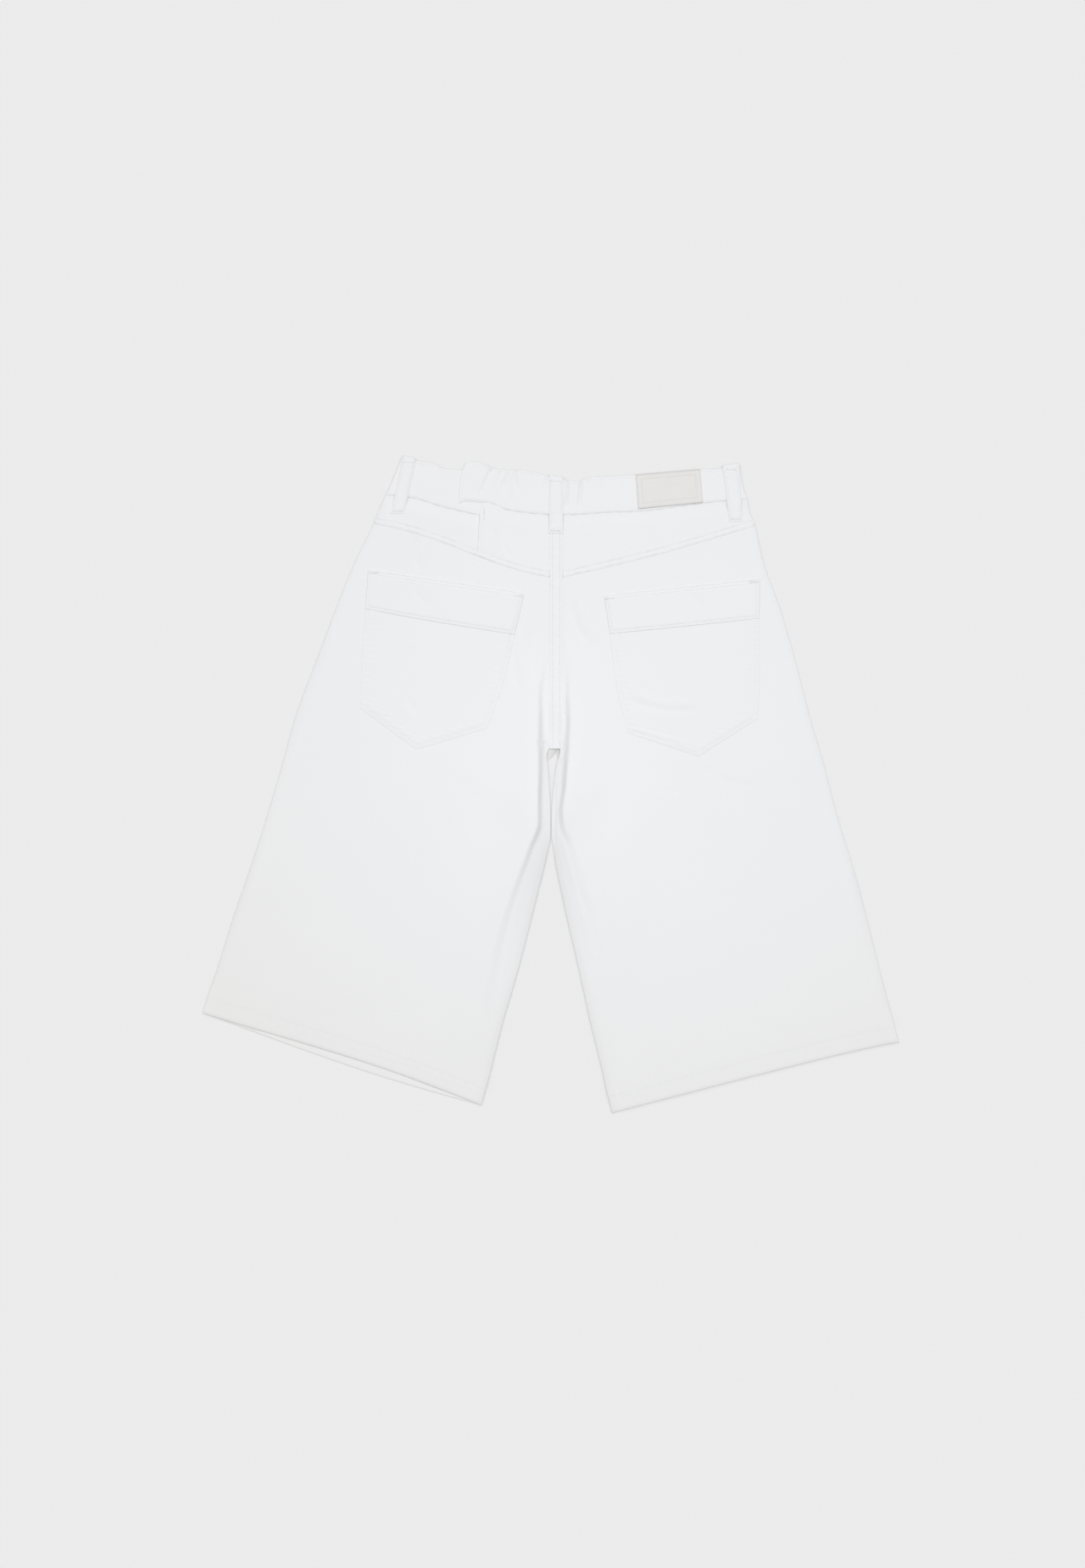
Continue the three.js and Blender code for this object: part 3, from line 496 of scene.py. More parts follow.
def upright(table, top=math.inf):
    """A side edge whose x comes from its y, so that it matches the height of the cloth beside it."""
    rows = np.array([row for row in table if row[1] <= top], float)
    lengths = lengths_along(rows)

    def edge(share):
        y = np.interp(share, lengths / lengths[-1], rows[:, 1])
        return np.stack([column(table, y, 1, 0), y])

    return edge


def level(table, start, end, shift=0.0):
    """A lower or upper edge whose y comes from its x."""

    def edge(share):
        x = mix(start, end, share)
        return np.stack([x, column(table, x, 0, 1) + shift])

    return edge


def bowed(start, end, bow, peak=0.5, waves=1):
    """A straight line plus a sine of its length, whose peak is moved by a power of the share."""
    bend = math.log(0.5) / math.log(peak)
    return lambda share: np.stack(
        [
            mix(start[0], end[0], share) + 0 * share,
            mix(start[1], end[1], share) + bow * np.sin(waves * math.pi * share**bend),
        ]
    )


def backwards(edge):
    return lambda share: edge(1 - share)


def part_of(edge, start, end, shift=(0, 0)):
    """A stretch of an edge, moved sideways."""
    move = lambda share: np.reshape(shift, (2,) + (1,) * np.ndim(share))
    return lambda share: edge(mix(start, end, share)) + move(share)


print("left side seam in millimetres:", round(float(lengths_along(np.array(LEFT_SIDE))[-1])))

# %% [markdown]
# ## Height of the cloth
# Laid flat, the back lies on the front. It is high in the middle of a leg, rolls down to the side seam,
# rests on the turned hem and on the waistband, and steps up along a fold on each side of the crotch. The
# height is one function of place, so pockets and seams that lie on the cloth follow it.

# %% Legs
LEFT = {
    "side": LEFT_SIDE,
    "inner": LEFT_INNER,
    "fold": LEFT_FOLD,
    "outward": -1,
    "yoke": LEFT_YOKE,
    "hem": bowed(LEFT_SIDE[0], LEFT_INNER[0], 4.6, 0.6),
    "front_hem": bowed(LEFT_SIDE[0], LEFT_INNER[0], -4.2, 0.56),
}
RIGHT = {
    "side": RIGHT_SIDE,
    "inner": RIGHT_INNER,
    "fold": RIGHT_FOLD,
    "outward": 1,
    "yoke": RIGHT_YOKE,
    "hem": bowed(RIGHT_SIDE[0], RIGHT_INNER[0], 2.6, 0.28),
    "front_hem": bowed(RIGHT_SIDE[0], RIGHT_INNER[0], 2.6, 0.28),
}
LEG_EDGE_TOP = 23  # where an inner leg edge ends and the hole at the crotch begins

for leg in (LEFT, RIGHT):
    leg_edge = [row for row in leg["inner"] if row[1] < LEG_EDGE_TOP]
    leg["guide"] = [*leg_edge, [leg_edge[-1][0], leg["inner"][-1][1]]]


def above_hem(leg, x, y):
    """How far a point lies above the hem's edge."""
    start, end = leg["side"][0][0], leg["inner"][0][0]
    return y - leg["hem"](np.clip((x - start) / (end - start), 0, 1))[1]


def band_low(x):
    """Lower edge of the waistband, of the section that shows there."""
    side = column(SIDE_BAND_LOW, x, 0, 1)
    return np.where(x < SIDE_BAND_END, side, column(ELASTIC_LOW, np.maximum(x, YOKE_SLIT_TOP), 0, 1))


# %% [markdown]
# Creases are short troughs and ridges with soft ends, placed one by one: a Gaussian across its line,
# faded along it. Negative depths are troughs.

# %% Creases: from x, y to x, y, height, half width
CREASES = [
    [-133, 243, -131, 214, -1.0, 3.6],
    [-127, 240, -125, 216, 0.5, 4],
    [-137, 201, -125, 179, -0.6, 3],
    [-146, 96, -133, 71, -0.7, 4],
    [-152, 92, -140, 66, 0.45, 5],
    [82, 82, 140, 73, -0.55, 3.4],
    [84, 89, 138, 80, 0.4, 4.4],
    [133, 197, 147, 179, -0.5, 3],
    [20, 181, 34, 142, -0.8, 4],
    [30, 178, 44, 146, 0.6, 6],
    [-37, 153, -33, 100, -0.7, 4],
    [-27, 156, -24, 98, 0.6, 5],
    [-17, 150, -14, 104, -0.5, 4],
    [152, 15, 200, -2, -0.45, 4],
    [108, -5, 128, -7, -0.4, 3],
    [-52, 252, -41, 226, -0.7, 3],
    [-57, 246, -48, 224, 0.4, 4],
    [8, -62, 43, -132, -0.6, 7],
    [-92, 25, -60, -5, 0.5, 9],
    [60, 22, 40, -20, 0.5, 9],
    [-236, -150, -210, -215, 0.5, 16],
    [230, -160, 214, -232, 0.45, 17],
    [-120, -232, -112, -300, 0.45, 15],
    [122, -236, 128, -306, 0.5, 14],
    [-296, -196, -262, -262, -0.35, 12],
    [286, -190, 268, -276, -0.35, 12],
    [-214, 150, -226, 84, 0.4, 7],
    [228, 150, 236, 70, 0.4, 7],
    [-150, -20, -120, -96, -0.3, 18],
    [140, -44, 160, -120, -0.3, 18],
]


def creases(x, y):
    """Sum of the creases: height times a Gaussian across, times a soft fade at both ends along."""
    total = np.zeros(np.shape(x))
    for x0, y0, x1, y1, rise, half in CREASES:
        length = math.hypot(x1 - x0, y1 - y0)
        dx, dy = (x1 - x0) / length, (y1 - y0) / length
        along = ((x - x0) * dx + (y - y0) * dy) / length
        across = (x - x0) * dy - (y - y0) * dx - 0.06 * length * np.sin(math.pi * along)
        total += rise * bell(across, half) * soften(along * 3 + 0.6) * soften((1 - along) * 3 + 0.6)
    return total


def ripple(distance, wave, shift=0.0):
    """Uneven waves along a seam, between -1 and 1: a sine whose phase wanders."""
    wander = 1.9 * np.sin(distance / (wave * 2.3) + shift) + 1.3 * np.sin(distance / (wave * 4.1) + 2 * shift)
    return np.sin(2 * math.pi * distance / wave + wander)


def unrest(x, y):
    """Long soft waves of cloth that was smoothed by hand: a few sines on slanted lines."""
    waves = 0.34 * np.sin(x / 31 + y / 57 + 0.8) + 0.26 * np.sin(x / 19 - y / 43 + 2.1)
    return waves + 0.2 * np.sin(x / 47 - y / 23 + 4) + 0.14 * np.sin(x / 11 + y / 37 + 1.2 * np.sin(y / 29))


# %% Height of the upper face


def fold_rise(leg, x, y):
    """A step up along the fold's line, and a long slope down beyond it."""
    beyond = (x - column(leg["fold"], y, 0, 1)) * leg["outward"]
    rise, step = column(leg["fold"], y, 0, 2), column(leg["fold"], y, 0, 3)
    return rise * soften(beyond / step) * bell(np.maximum(beyond - step, 0), FOLD_SPREAD)


def sloped(distance, width):
    """A parabola from zero at an edge, where it is steepest, to one at a width from it."""
    return 1 - (1 - np.clip(distance / width, 0, 1)) ** 2


def leg_top(leg, x, y):
    """Two layers, the lift over the hem and the waistband, the loft, the fold and the creases."""
    to_side = np.abs(x - column(leg["side"], y, 1, 0))
    to_inner = np.maximum((x - column(leg["guide"], y, 1, 0)) * leg["outward"], 0)
    seat = soften((y - 40) / 45)
    hem = above_hem(leg, x, y)
    near_hem = 1 - soften((hem - HEM_DEPTH) / 25)
    near_waist = soften((y - band_low(x) + 15) / 15)
    rounded = sloped(to_side, SIDE_ROLL) * mix(sloped(to_inner, INNER_ROLL), 1, seat)
    loft = LOFT * rounded * mix(0.25, 1, soften(hem / 45)) * (1 - 0.6 * near_waist)
    lift = (2 * (HEM - CLOTH) - GAP + TOUCH) * near_hem + WAIST_LIFT * near_waist
    free = rounded * (1 - 0.7 * near_waist)
    fine = free * (unrest(x, y) * soften(hem / 60) + creases(x, y))
    pucker = 0.2 * ripple(x + 0.35 * y, 9.5, 0.7) * bell(hem - HEM_DEPTH - 2, 7) * rounded
    return 2 * CLOTH + GAP + lift + loft + fold_rise(leg, x, y) + fine + pucker


def cloth_top(x, y):
    """Height of the back's upper face, of the leg that a point is on."""
    return np.where(x < SEAT_X, leg_top(LEFT, x, y), leg_top(RIGHT, x, y))


def front_top(x, y):
    """Upper face of the front under a point."""
    hem = np.where(x < SEAT_X, above_hem(LEFT, x, y), above_hem(RIGHT, x, y))
    return np.where(y > band_low(x) - 3, BAND, np.where(hem < HEM_DEPTH + 8, HEM, CLOTH))


def steepness(x, y):
    """What a wall needs between its faces where it slopes."""
    dx = cloth_top(x + 0.5, y) - cloth_top(x - 0.5, y)
    dy = cloth_top(x, y + 0.5) - cloth_top(x, y - 0.5)
    return np.minimum(np.sqrt(1 + dx**2 + dy**2), 1.6)


print("height at the left fold:", round(float(cloth_top(np.array([-20.0]), np.array([0.0]))[0]), 2))

# %% [markdown]
# ## A wall of cloth
# Four edges span a Coons patch: points slide between the left and right edge and between the lower and
# upper edge at once. Its grid is dense near the edges, where the cloth is folded, and the upper and lower
# faces meet in a half round there, so that no piece ends in a cut.

# %% Grid between four edges
RIM = [0, 0.1, 0.3, 0.65, 1.2]
SEWN_RIM = [0, 0.1, 0.3, 0.65, 1.2, 1.9, 2.5, 3.1, 3.7, 4.3, 5.2]


def spread(length, first, last, count):
    """Shares of a length: insets at its two ends, and even steps between them."""
    shape = np.shape(length) + (1,)
    length = np.reshape(length, shape)
    head, tail = np.array(first) / length, 1 - np.array(last[::-1]) / length
    steps = np.linspace(0, 1, count + 2)[1:-1]
    return np.concatenate([head, mix(head[..., -1:], tail[..., :1], steps), tail], axis=-1)


def grid(left, right, bottom, top, spacing, rims):
    """x, y and the distances from the left, right, lower and upper edge, for rows going up."""
    rim_left, rim_right, rim_bottom, rim_top = rims
    ends = np.linspace(0, 1, 41)
    widths = np.hypot(*(right(ends) - left(ends)))
    heights = np.hypot(*(top(ends) - bottom(ends)))
    columns = max(int((widths.mean() - rim_left[-1] - rim_right[-1]) / spacing), 1)
    rows = max(int((heights.mean() - rim_bottom[-1] - rim_top[-1]) / spacing), 1)
    v_first = spread(heights.mean(), rim_bottom, rim_top, rows)
    u_first = spread(widths.mean(), rim_left, rim_right, columns)
    u = spread(np.interp(v_first, ends, widths), rim_left, rim_right, columns)
    v = spread(np.interp(u_first, ends, heights), rim_bottom, rim_top, rows).T
    low, high = bottom(np.array([0.0, 1])), top(np.array([0.0, 1]))
    corner = lambda pair: mix(pair[:, 0, None, None], pair[:, 1, None, None], u)
    x, y = mix(left(v), right(v), u) + mix(bottom(u), top(u), v) - mix(corner(low), corner(high), v)
    width, height = np.interp(v, ends, widths), np.interp(u, ends, heights)
    return x, y, (u * width, (1 - u) * width, v * height, (1 - v) * height)


# %% Closed wall from a grid


def half_round(distance, radius):
    """Zero at an edge and one from a radius on, along a quarter circle."""
    return np.sqrt(1 - (1 - np.clip(distance / radius, 0, 1)) ** 2)


def smooth_object(name, points, faces, material):
    """A mesh object on the root body, from points in millimetres."""
    mesh = bpy.data.meshes.new(name)
    mesh.from_pydata((points * MM).tolist(), [], faces)
    mesh.polygons.foreach_set("use_smooth", np.ones(len(mesh.polygons), bool))
    mesh.materials.append(material)
    piece = bpy.data.objects.new(name, mesh)
    scene.collection.objects.link(piece)
    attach(piece, "root")
    return piece


def set_grain(piece, points, grain):
    """The cloth's own coordinates: x and y, turned to the grain."""
    mesh = piece.data
    turn = np.array([[math.cos(grain), -math.sin(grain)], [math.sin(grain), math.cos(grain)]])
    corner = np.empty(len(mesh.loops), int)
    mesh.loops.foreach_get("vertex_index", corner)
    places = ((points[:, :2] * MM) @ turn)[corner]
    mesh.uv_layers.new(name="cloth").data.foreach_set("uv", places.ravel())


def wall(name, x, y, low, high, edges, material=LEG_WHITE, grain=0.0, sink=0.5):
    """Upper and lower grid, joined along the outer points; sink is their height in the thickness."""
    rows, across = x.shape
    radius = np.clip((high - low) * (1 - sink), 0.3, ROUNDEST)
    left, right, bottom, top = (half_round(edge, radius) for edge in edges)
    round_off = left * right * bottom * top
    join = mix(low, high, sink)
    upper = np.stack([x, y, mix(join, high, round_off)], axis=-1).reshape(-1, 3)
    lower = np.stack([x, y, mix(join, low, round_off)], axis=-1)[1:-1, 1:-1].reshape(-1, 3)
    above = np.arange(rows * across).reshape(rows, across)
    below = above.copy()
    below[1:-1, 1:-1] = rows * across + np.arange((rows - 2) * (across - 2)).reshape(rows - 2, across - 2)
    faces = [
        np.stack([above[:-1, :-1], above[:-1, 1:], above[1:, 1:], above[1:, :-1]], axis=-1),
        np.stack([below[:-1, :-1], below[1:, :-1], below[1:, 1:], below[:-1, 1:]], axis=-1),
    ]
    quads = np.concatenate([face.reshape(-1, 4) for face in faces])
    points = np.concatenate([upper, lower])
    piece = smooth_object(name, points, quads.tolist(), material)
    set_grain(piece, points, grain)
    return piece


def set_tone(piece, tone):
    """Stores how much of its second colour each point of the upper face takes; the lower face has none. On
    the denim this is painted shade; on the patch it is the darker colour of its edges and frame.
    """
    values = np.zeros(len(piece.data.vertices))
    values[: tone.size] = tone.ravel()
    piece.data.attributes.new("tone", "FLOAT", "POINT").data.foreach_set("value", values)
    return piece


def stands_for(piece, node):
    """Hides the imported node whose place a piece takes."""
    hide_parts(node)
    return piece


def groove(distance, at, depth=0.28, half=0.85):
    """The trough that a row of stitches pulls into the cloth at a distance from an edge."""
    return -depth * bell(distance - at, half)


def start_of(edge):
    return edge(np.array(0.0))


def end_of(edge):
    return edge(np.array(1.0))


print("rim rows:", RIM)

# %% [markdown]
# ## Back legs
# Each back leg is one panel from the turned hem to the yoke seam. Its columns crowd towards the inner
# edge, where the fold beside the crotch needs them.

# %% Back panels
FOLD_ROWS = [*RIM, *np.arange(2.2, 46, 1.35)]
HEM_ROWS = [*RIM, *np.arange(2.6, 22, 1.5)]
INNER_EDGE_SHADE = 0.21  # how dark the painted shade along a rolled inner leg edge is


def back_panel(name, leg, grain):
    """The patch between side seam, inner edge, hem and yoke seam, at the height of the cloth."""
    yoke = leg["yoke"]
    bottom, top = leg["hem"], part_of(bowed(**yoke), 0, 1, (0, -GAP / 2))
    sides = (upright(leg["side"], yoke["start"][1]), upright(leg["inner"]))
    rims = (RIM, FOLD_ROWS)
    if leg is RIGHT:
        sides, rims, bottom, top = sides[::-1], rims[::-1], backwards(bottom), backwards(top)
    x, y, edges = grid(*sides, bottom, top, 2.7, (*rims, HEM_ROWS, RIM))
    high = cloth_top(x, y) + groove(edges[2], HEM_DEPTH, 0.3, 1.3) - 0.8 * (1 - soften(edges[2] / 3.5))
    hem = above_hem(leg, x, y)
    thick = np.where(hem < HEM_DEPTH + 1, HEM, CLOTH)
    low = np.maximum(high - thick * steepness(x, y), front_top(x, y) + TOUCH)
    # Painted shade: a darker strip between the fold and the inner edge up to the crotch, and darker cloth
    # along the rolled inner leg edge lower down.
    inside = (column(leg["fold"], y, 0, 1) - x) * leg["outward"]
    strip = 0.34 * soften(inside / 3 + 0.6) * soften((y + 190) / 150) * (1 - soften((y - 24) / 40))
    to_inner = np.abs(x - column(leg["guide"], y, 1, 0))
    painted_edge_shade = INNER_EDGE_SHADE * (1 - soften(to_inner / 9)) * (1 - soften((y + 75) / 30))
    panel = wall(name, x, y, low, high, edges, LEG_WHITE, grain, 0.2)
    return set_tone(panel, np.clip(strip + painted_edge_shade, 0, 1))


back_left = stands_for(back_panel("back_leg_left", LEFT, 0.27), "back_panel_left")
stands_for(back_panel("back_leg_right", RIGHT, -0.25), "back_panel_right")
print("faces of a back leg:", len(back_left.data.polygons))

# %% [markdown]
# ## Fronts
# The fronts lie flat on the table under the backs. Only the left hem shows, where it hangs lower than the
# back's. The waistband halves and the shield behind the opening stay plain.

# %% Front panels
FRONT_CROTCH = 30  # lower end of the centre front seam
FRONT_DROP = 3  # how much lower the front's waist is cut
FRONT_SIDE_TOP = 275  # where a front's side seam ends under the waistband
FRONT_BAND_START = -167.8  # from there its left half runs to the centre
WAIST_MIDDLE = (267.3, 303.4)  # lower and upper edge of the waistband at the centre back


def front_waist(x):
    """Seam between a front and its half of the waistband."""
    left = column([*SIDE_BAND_LOW, [SEAT_X, WAIST_MIDDLE[0]]], x, 0, 1)
    return np.where(x < SEAT_X, left, column(ELASTIC_LOW, x, 0, 1))


def waist_edge(start, end, drop=0.0):
    """The front's waist seam between two x, moved down by a drop."""

    def edge(share):
        x = mix(start, end, share)
        return np.stack([x, front_waist(x) - drop])

    return edge


def front_panel(name, leg, grain):
    """The patch between side seam, inner edge, centre front, hem and waist, flat on the ground."""
    outward = leg["outward"]
    centre = SEAT_X + GAP / 2 * outward
    far = (SIDE_BAND_LOW[0] if leg is LEFT else ELASTIC_LOW[-1])[0]
    bottom, top = leg["front_hem"], waist_edge(far, centre, BAND_SEAM)
    inner = [[x + FRONT_TUCK * outward, y] for x, y in leg["inner"] if y < LEG_EDGE_TOP]
    inner[0] = leg["inner"][0]
    inner += [[centre, FRONT_CROTCH], [centre, float(end_of(top)[1])]]
    outer = [row for row in leg["side"] if row[1] < FRONT_SIDE_TOP] + [start_of(top).tolist()]
    sides = (line(outer), line(inner, sharp=True))
    if leg is RIGHT:
        sides, bottom, top = sides[::-1], backwards(bottom), backwards(top)
    x, y, edges = grid(*sides, bottom, top, 6, (RIM, RIM, HEM_ROWS, RIM))
    high = np.where(edges[2] < HEM_DEPTH, HEM, CLOTH)
    panel = wall(name, x, y, np.zeros_like(x), high, edges, LEG_WHITE, grain)
    # Painted shade: the front is drawn darker round the lower end of its centre seam, where it shows in shade
    # through the hole at the crotch.
    slanted = y - FRONT_CROTCH - 2 - 0.5 * (x - SEAT_X)
    return set_tone(panel, bell(x - SEAT_X, 14) * bell(slanted, 9))


front_left = stands_for(front_panel("front_leg_left", LEFT, 0.27), "front_panel_left")
stands_for(front_panel("front_leg_right", RIGHT, -0.25), "front_panel_right")
print("faces of a front leg:", len(front_left.data.polygons))

# %% Front waistband, with a seat for the button, and the shield behind the opening


def cut_lower(point):
    """A point of the back's waist, moved down to the front's."""
    return [point[0], point[1] - FRONT_DROP]


def front_band(name, leg):
    """A double strip on the ground; the lower face is hollowed where the button presses in."""
    centre = SEAT_X + GAP / 2 * leg["outward"]
    highest = [centre, WAIST_MIDDLE[1]]
    middle = line([[centre, front_waist(centre)], cut_lower(highest)])
    if leg is LEFT:
        outer = line([SIDE_BAND_LOW[0], [-159.6, 295], cut_lower(SIDE_BAND_TOP[0])])
        top = level([*SIDE_BAND_TOP, [-20, 307], highest], SIDE_BAND_TOP[0][0], centre, -FRONT_DROP)
        edges = (outer, middle, waist_edge(FRONT_BAND_START, centre), top)
    else:
        outer = line([ELASTIC_LOW[-1], [190.9, 295], cut_lower(ELASTIC_TOP[-1])])
        top = level([highest, *ELASTIC_TOP[7:]], centre, ELASTIC_TOP[-1][0], -FRONT_DROP)
        edges = (middle, outer, level(ELASTIC_LOW, centre, ELASTIC_LOW[-1][0]), top)
    x, y, insets = grid(*edges, 1.7, (RIM,) * 4)
    near = np.hypot(x - BUTTON[0], y - BUTTON[1])
    low = (BUTTON[3] + GAP) * (1 - soften((near - BUTTON[2] - GAP) / 0.9))
    return wall(name, x, y, low, np.full_like(x, BAND), insets, BAND_WHITE, 1.57)


stands_for(front_band("front_band_left", LEFT), "waistband_front_left")
stands_for(front_band("front_band_right", RIGHT), "waistband_front_right")


def strip(points, spacing, rims=(RIM,) * 4):
    """Grid of a four-cornered strip: lower left, upper left, lower right, upper right."""
    low_left, top_left, low_right, top_right = points
    pairs = ((low_left, top_left), (low_right, top_right), (low_left, low_right), (top_left, top_right))
    return grid(*(line(pair) for pair in pairs), spacing, rims)


SHIELD = [[SEAT_X - 13, 110], [SEAT_X - 19, 262], [SEAT_X + 13, 110], [SEAT_X + 19, 262]]
x, y, insets = strip(SHIELD, 4)
shield = wall("fly_facing", x, y, np.full_like(x, CLOTH + GAP), np.full_like(x, 2 * CLOTH + GAP), insets)
stands_for(shield, "fly_shield")
print("front pieces made")

# %% [markdown]
# ## Yokes
# The yoke is the wedge between waistband and leg that shapes the seat. On the left it is cut in two by a
# slit, and its centre piece laps over its side piece.

# %% Yokes
SEWN_LAP = 0.4  # how much of the lap's height is left where it is sewn down
SIDE_YOKE_TOP = (-162.6, 286.1)  # upper corner of the left yoke at the side seam
SLIT_END = [SLIT_X + SLIT_LAP, 265.4]  # upper corner of the side yoke under the centre yoke


def flat(x, y=0):
    """No lift at all."""
    return 0 * x


def yoke_lap(x):
    """How far the centre yoke rises over the side yoke that runs on under it."""
    return (CLOTH + TOUCH) * (1 - soften((x - SLIT_X - SLIT_LAP) / 20))


def yoke_wall(name, edges, grain, lift=flat, rims=(RIM,) * 4):
    """One layer at the height of the cloth, over the front and its waistband."""
    x, y, insets = grid(*edges, 2.0, rims)
    free = soften((insets[2] - 5) / 3)
    seam = 0.14 * ripple(x, 8.5, 1.3) * bell(insets[2] - 8, 4)
    gather = 0.2 * (ripple(x + 0.1 * y, 12, 2.2) - 1) * bell(insets[3], 9)
    ridge = groove(insets[3], YOKE_TUCK + 3.4, 0.26, 0.7)
    raised = lift(x) * mix(SEWN_LAP, 1, soften(insets[2] / 9))
    high = cloth_top(x, y) + raised + (seam + gather) * free + ridge
    low = np.maximum(high - CLOTH * steepness(x, y), front_top(x, y) + GAP)
    return stands_for(wall(name + "_cloth", x, y, low, high, insets, LEG_WHITE, grain, 0.2), name)


def yoke_share(yoke, x):
    return (x - yoke["start"][0]) / (yoke["end"][0] - yoke["start"][0])


def yoke_low(yoke, start, end):
    """The yoke's lower edge between two shares of its seam."""
    return part_of(bowed(**yoke), start, end, (0, GAP / 2))


left_end, right_start = SEAT_X - GAP / 2, SEAT_X + GAP / 2
side_low = yoke_low(LEFT_YOKE, 0, yoke_share(LEFT_YOKE, SLIT_END[0]))
side_table = [*SIDE_BAND_LOW, [SLIT_END[0], SLIT_END[1] + BAND_SEAM]]
side_edges = (
    line([start_of(side_low), LEFT_SIDE[-3], [SIDE_YOKE_TOP[0], SIDE_YOKE_TOP[1] + YOKE_TUCK]]),
    line([end_of(side_low), [SLIT_END[0], SLIT_END[1] + YOKE_TUCK]]),
    side_low,
    level(side_table, SIDE_YOKE_TOP[0], SLIT_END[0], YOKE_TUCK - BAND_SEAM),
)
yoke_wall("back_yoke_left_side", side_edges, 1.4)

centre_low = yoke_low(LEFT_YOKE, yoke_share(LEFT_YOKE, YOKE_SLIT[0][0]), yoke_share(LEFT_YOKE, left_end))
centre_top = level(ELASTIC_LOW, YOKE_SLIT[-1][0], left_end, YOKE_TUCK - BAND_SEAM)
slit = line([start_of(centre_low), *YOKE_SLIT[1:-1], start_of(centre_top)])
centre_edges = (slit, line([end_of(centre_low), end_of(centre_top)]), centre_low, centre_top)
yoke_wall("back_yoke_left_centre", centre_edges, 1.4, yoke_lap, (SEWN_RIM, RIM, RIM, RIM))

right_low = yoke_low(RIGHT_YOKE, yoke_share(RIGHT_YOKE, right_start), 0)
right_top = level(ELASTIC_LOW, right_start, ELASTIC_LOW[-1][0], YOKE_TUCK - BAND_SEAM)
right_edges = (
    line([start_of(right_low), start_of(right_top)]),
    line([end_of(right_low), RIGHT_SIDE[-3], end_of(right_top)]),
    right_low,
    right_top,
)
yoke_wall("back_yoke_right", right_edges, 1.75)
print("yoke pieces made")

# %% [markdown]
# ## Waistband
# The right and middle of the back waistband hold an elastic, which gathers the cloth in upright troughs.
# Its free end, a tab, laps over the flat side section on the left.

# %% Waistband
TAB_LAP = 1.3  # height of the tab, pressed on to the side section
WAIST_ROW = 2.6  # from the waistband's edges to their rows of stitches


def gathered(x, y):
    """Troughs of the elastic: Gaussians across slanted lines, and finer uneven waves between them."""
    up = y - 288
    total = np.zeros(np.shape(x))
    for at, slant, depth, half, low in GATHERS:
        across = x - at - slant * up + 0.5 * np.sin(up / 5 + at)
        total += 1.2 * depth * bell(across, half) * soften((y - low) / 8)
    drawn = soften((x + 74) / 14) * (1 - soften((x - 66) / 24))
    return total + 0.07 * ripple(x - 0.05 * up, 8.3, 0.4) * drawn


def band_lap(x):
    """How far the elastic section rises over the side section that it laps."""
    return TAB_LAP * (1 - soften((x + 67) / 19))


def band_wall(name, edges, lift, dip, rims):
    """A double strip over the yoke's upper edge; where it is lifted, it lies on the side section."""
    x, y, insets = grid(*edges, 1.0, rims)
    rows = groove(insets[2], WAIST_ROW, 0.16) + groove(insets[3], WAIST_ROW, 0.16)
    proud = BAND_PROUD * mix(0.3, 1, soften(insets[2] / 1.8))
    flattened = 1 - soften(np.minimum(insets[0], insets[2]) / 4)
    pulled = dip(x, y) * soften(insets[2] / 4)
    high = cloth_top(x, y) + proud + lift(x) * mix(1, 0.6, flattened) - pulled + rows
    full = np.maximum(soften((insets[2] - YOKE_TUCK - 0.8) / 1.5), soften(2 * lift(x)))
    under = mix(cloth_top(x, y) + lift(x) + TOUCH, high - BAND, full)
    lapped = (lift(x) > 0) & (x < SIDE_BAND_END + SIDE_BAND_TUCK + 1)
    low = np.maximum(under, np.where(lapped, cloth_top(x, y) + BAND_PROUD + TOUCH, BAND + TOUCH))
    low = np.minimum(low, high - 0.2)
    # Painted shade: the waistband is drawn a little darker in the troughs of the gathers.
    band = set_tone(wall(name + "_cloth", x, y, low, high, insets, BAND_WHITE, 1.57, 0.2), 0.1 * pulled)
    return stands_for(band, name)


side_band = (
    line([SIDE_BAND_LOW[0], LEFT_SIDE[-2], SIDE_BAND_TOP[0]]),
    line([[x + SIDE_BAND_TUCK, y] for x, y in (SIDE_BAND_LOW[-1], SIDE_BAND_TOP[-1])]),
    level(SIDE_BAND_LOW, SIDE_BAND_LOW[0][0], SIDE_BAND_END + SIDE_BAND_TUCK, TOUCH - BAND_SEAM),
    level(SIDE_BAND_TOP, SIDE_BAND_TOP[0][0], SIDE_BAND_END + SIDE_BAND_TUCK),
)
band_wall("waistband_back_side", side_band, flat, flat, (RIM, RIM, SEWN_RIM, SEWN_RIM))
elastic_band = (
    line(TAB_END),
    line([ELASTIC_LOW[-1], RIGHT_SIDE[-2], ELASTIC_TOP[-1]]),
    level(ELASTIC_LOW, ELASTIC_LOW[0][0], ELASTIC_LOW[-1][0], TOUCH - BAND_SEAM),
    level(ELASTIC_TOP, ELASTIC_TOP[0][0], ELASTIC_TOP[-1][0]),
)
band_wall("waistband_back_elastic", elastic_band, band_lap, gathered, (SEWN_RIM, RIM, SEWN_RIM, SEWN_RIM))
print("gathers in the elastic:", len(GATHERS))

# %% [markdown]
# ## Felled seams
# A felled seam is turned under and sewn twice, so it stands up as a flat band between two rows of
# stitches. The rows pull it down and leave it crowned between them.

# %% Felled seams
left_x, low_y, right_x, high_y = -0.9, 35.4, 12.1, 266.4  # sides of the fell on the seat seam
SEAT_ROWS = (2.9, 10.1)  # its rows of stitches, from its left side
FELL_LOW, FELL_WIDTH = -1.5, 7.0  # lower edge of a yoke's fell over its seam, and width
FELL_ROWS = (1.1, 5.9)


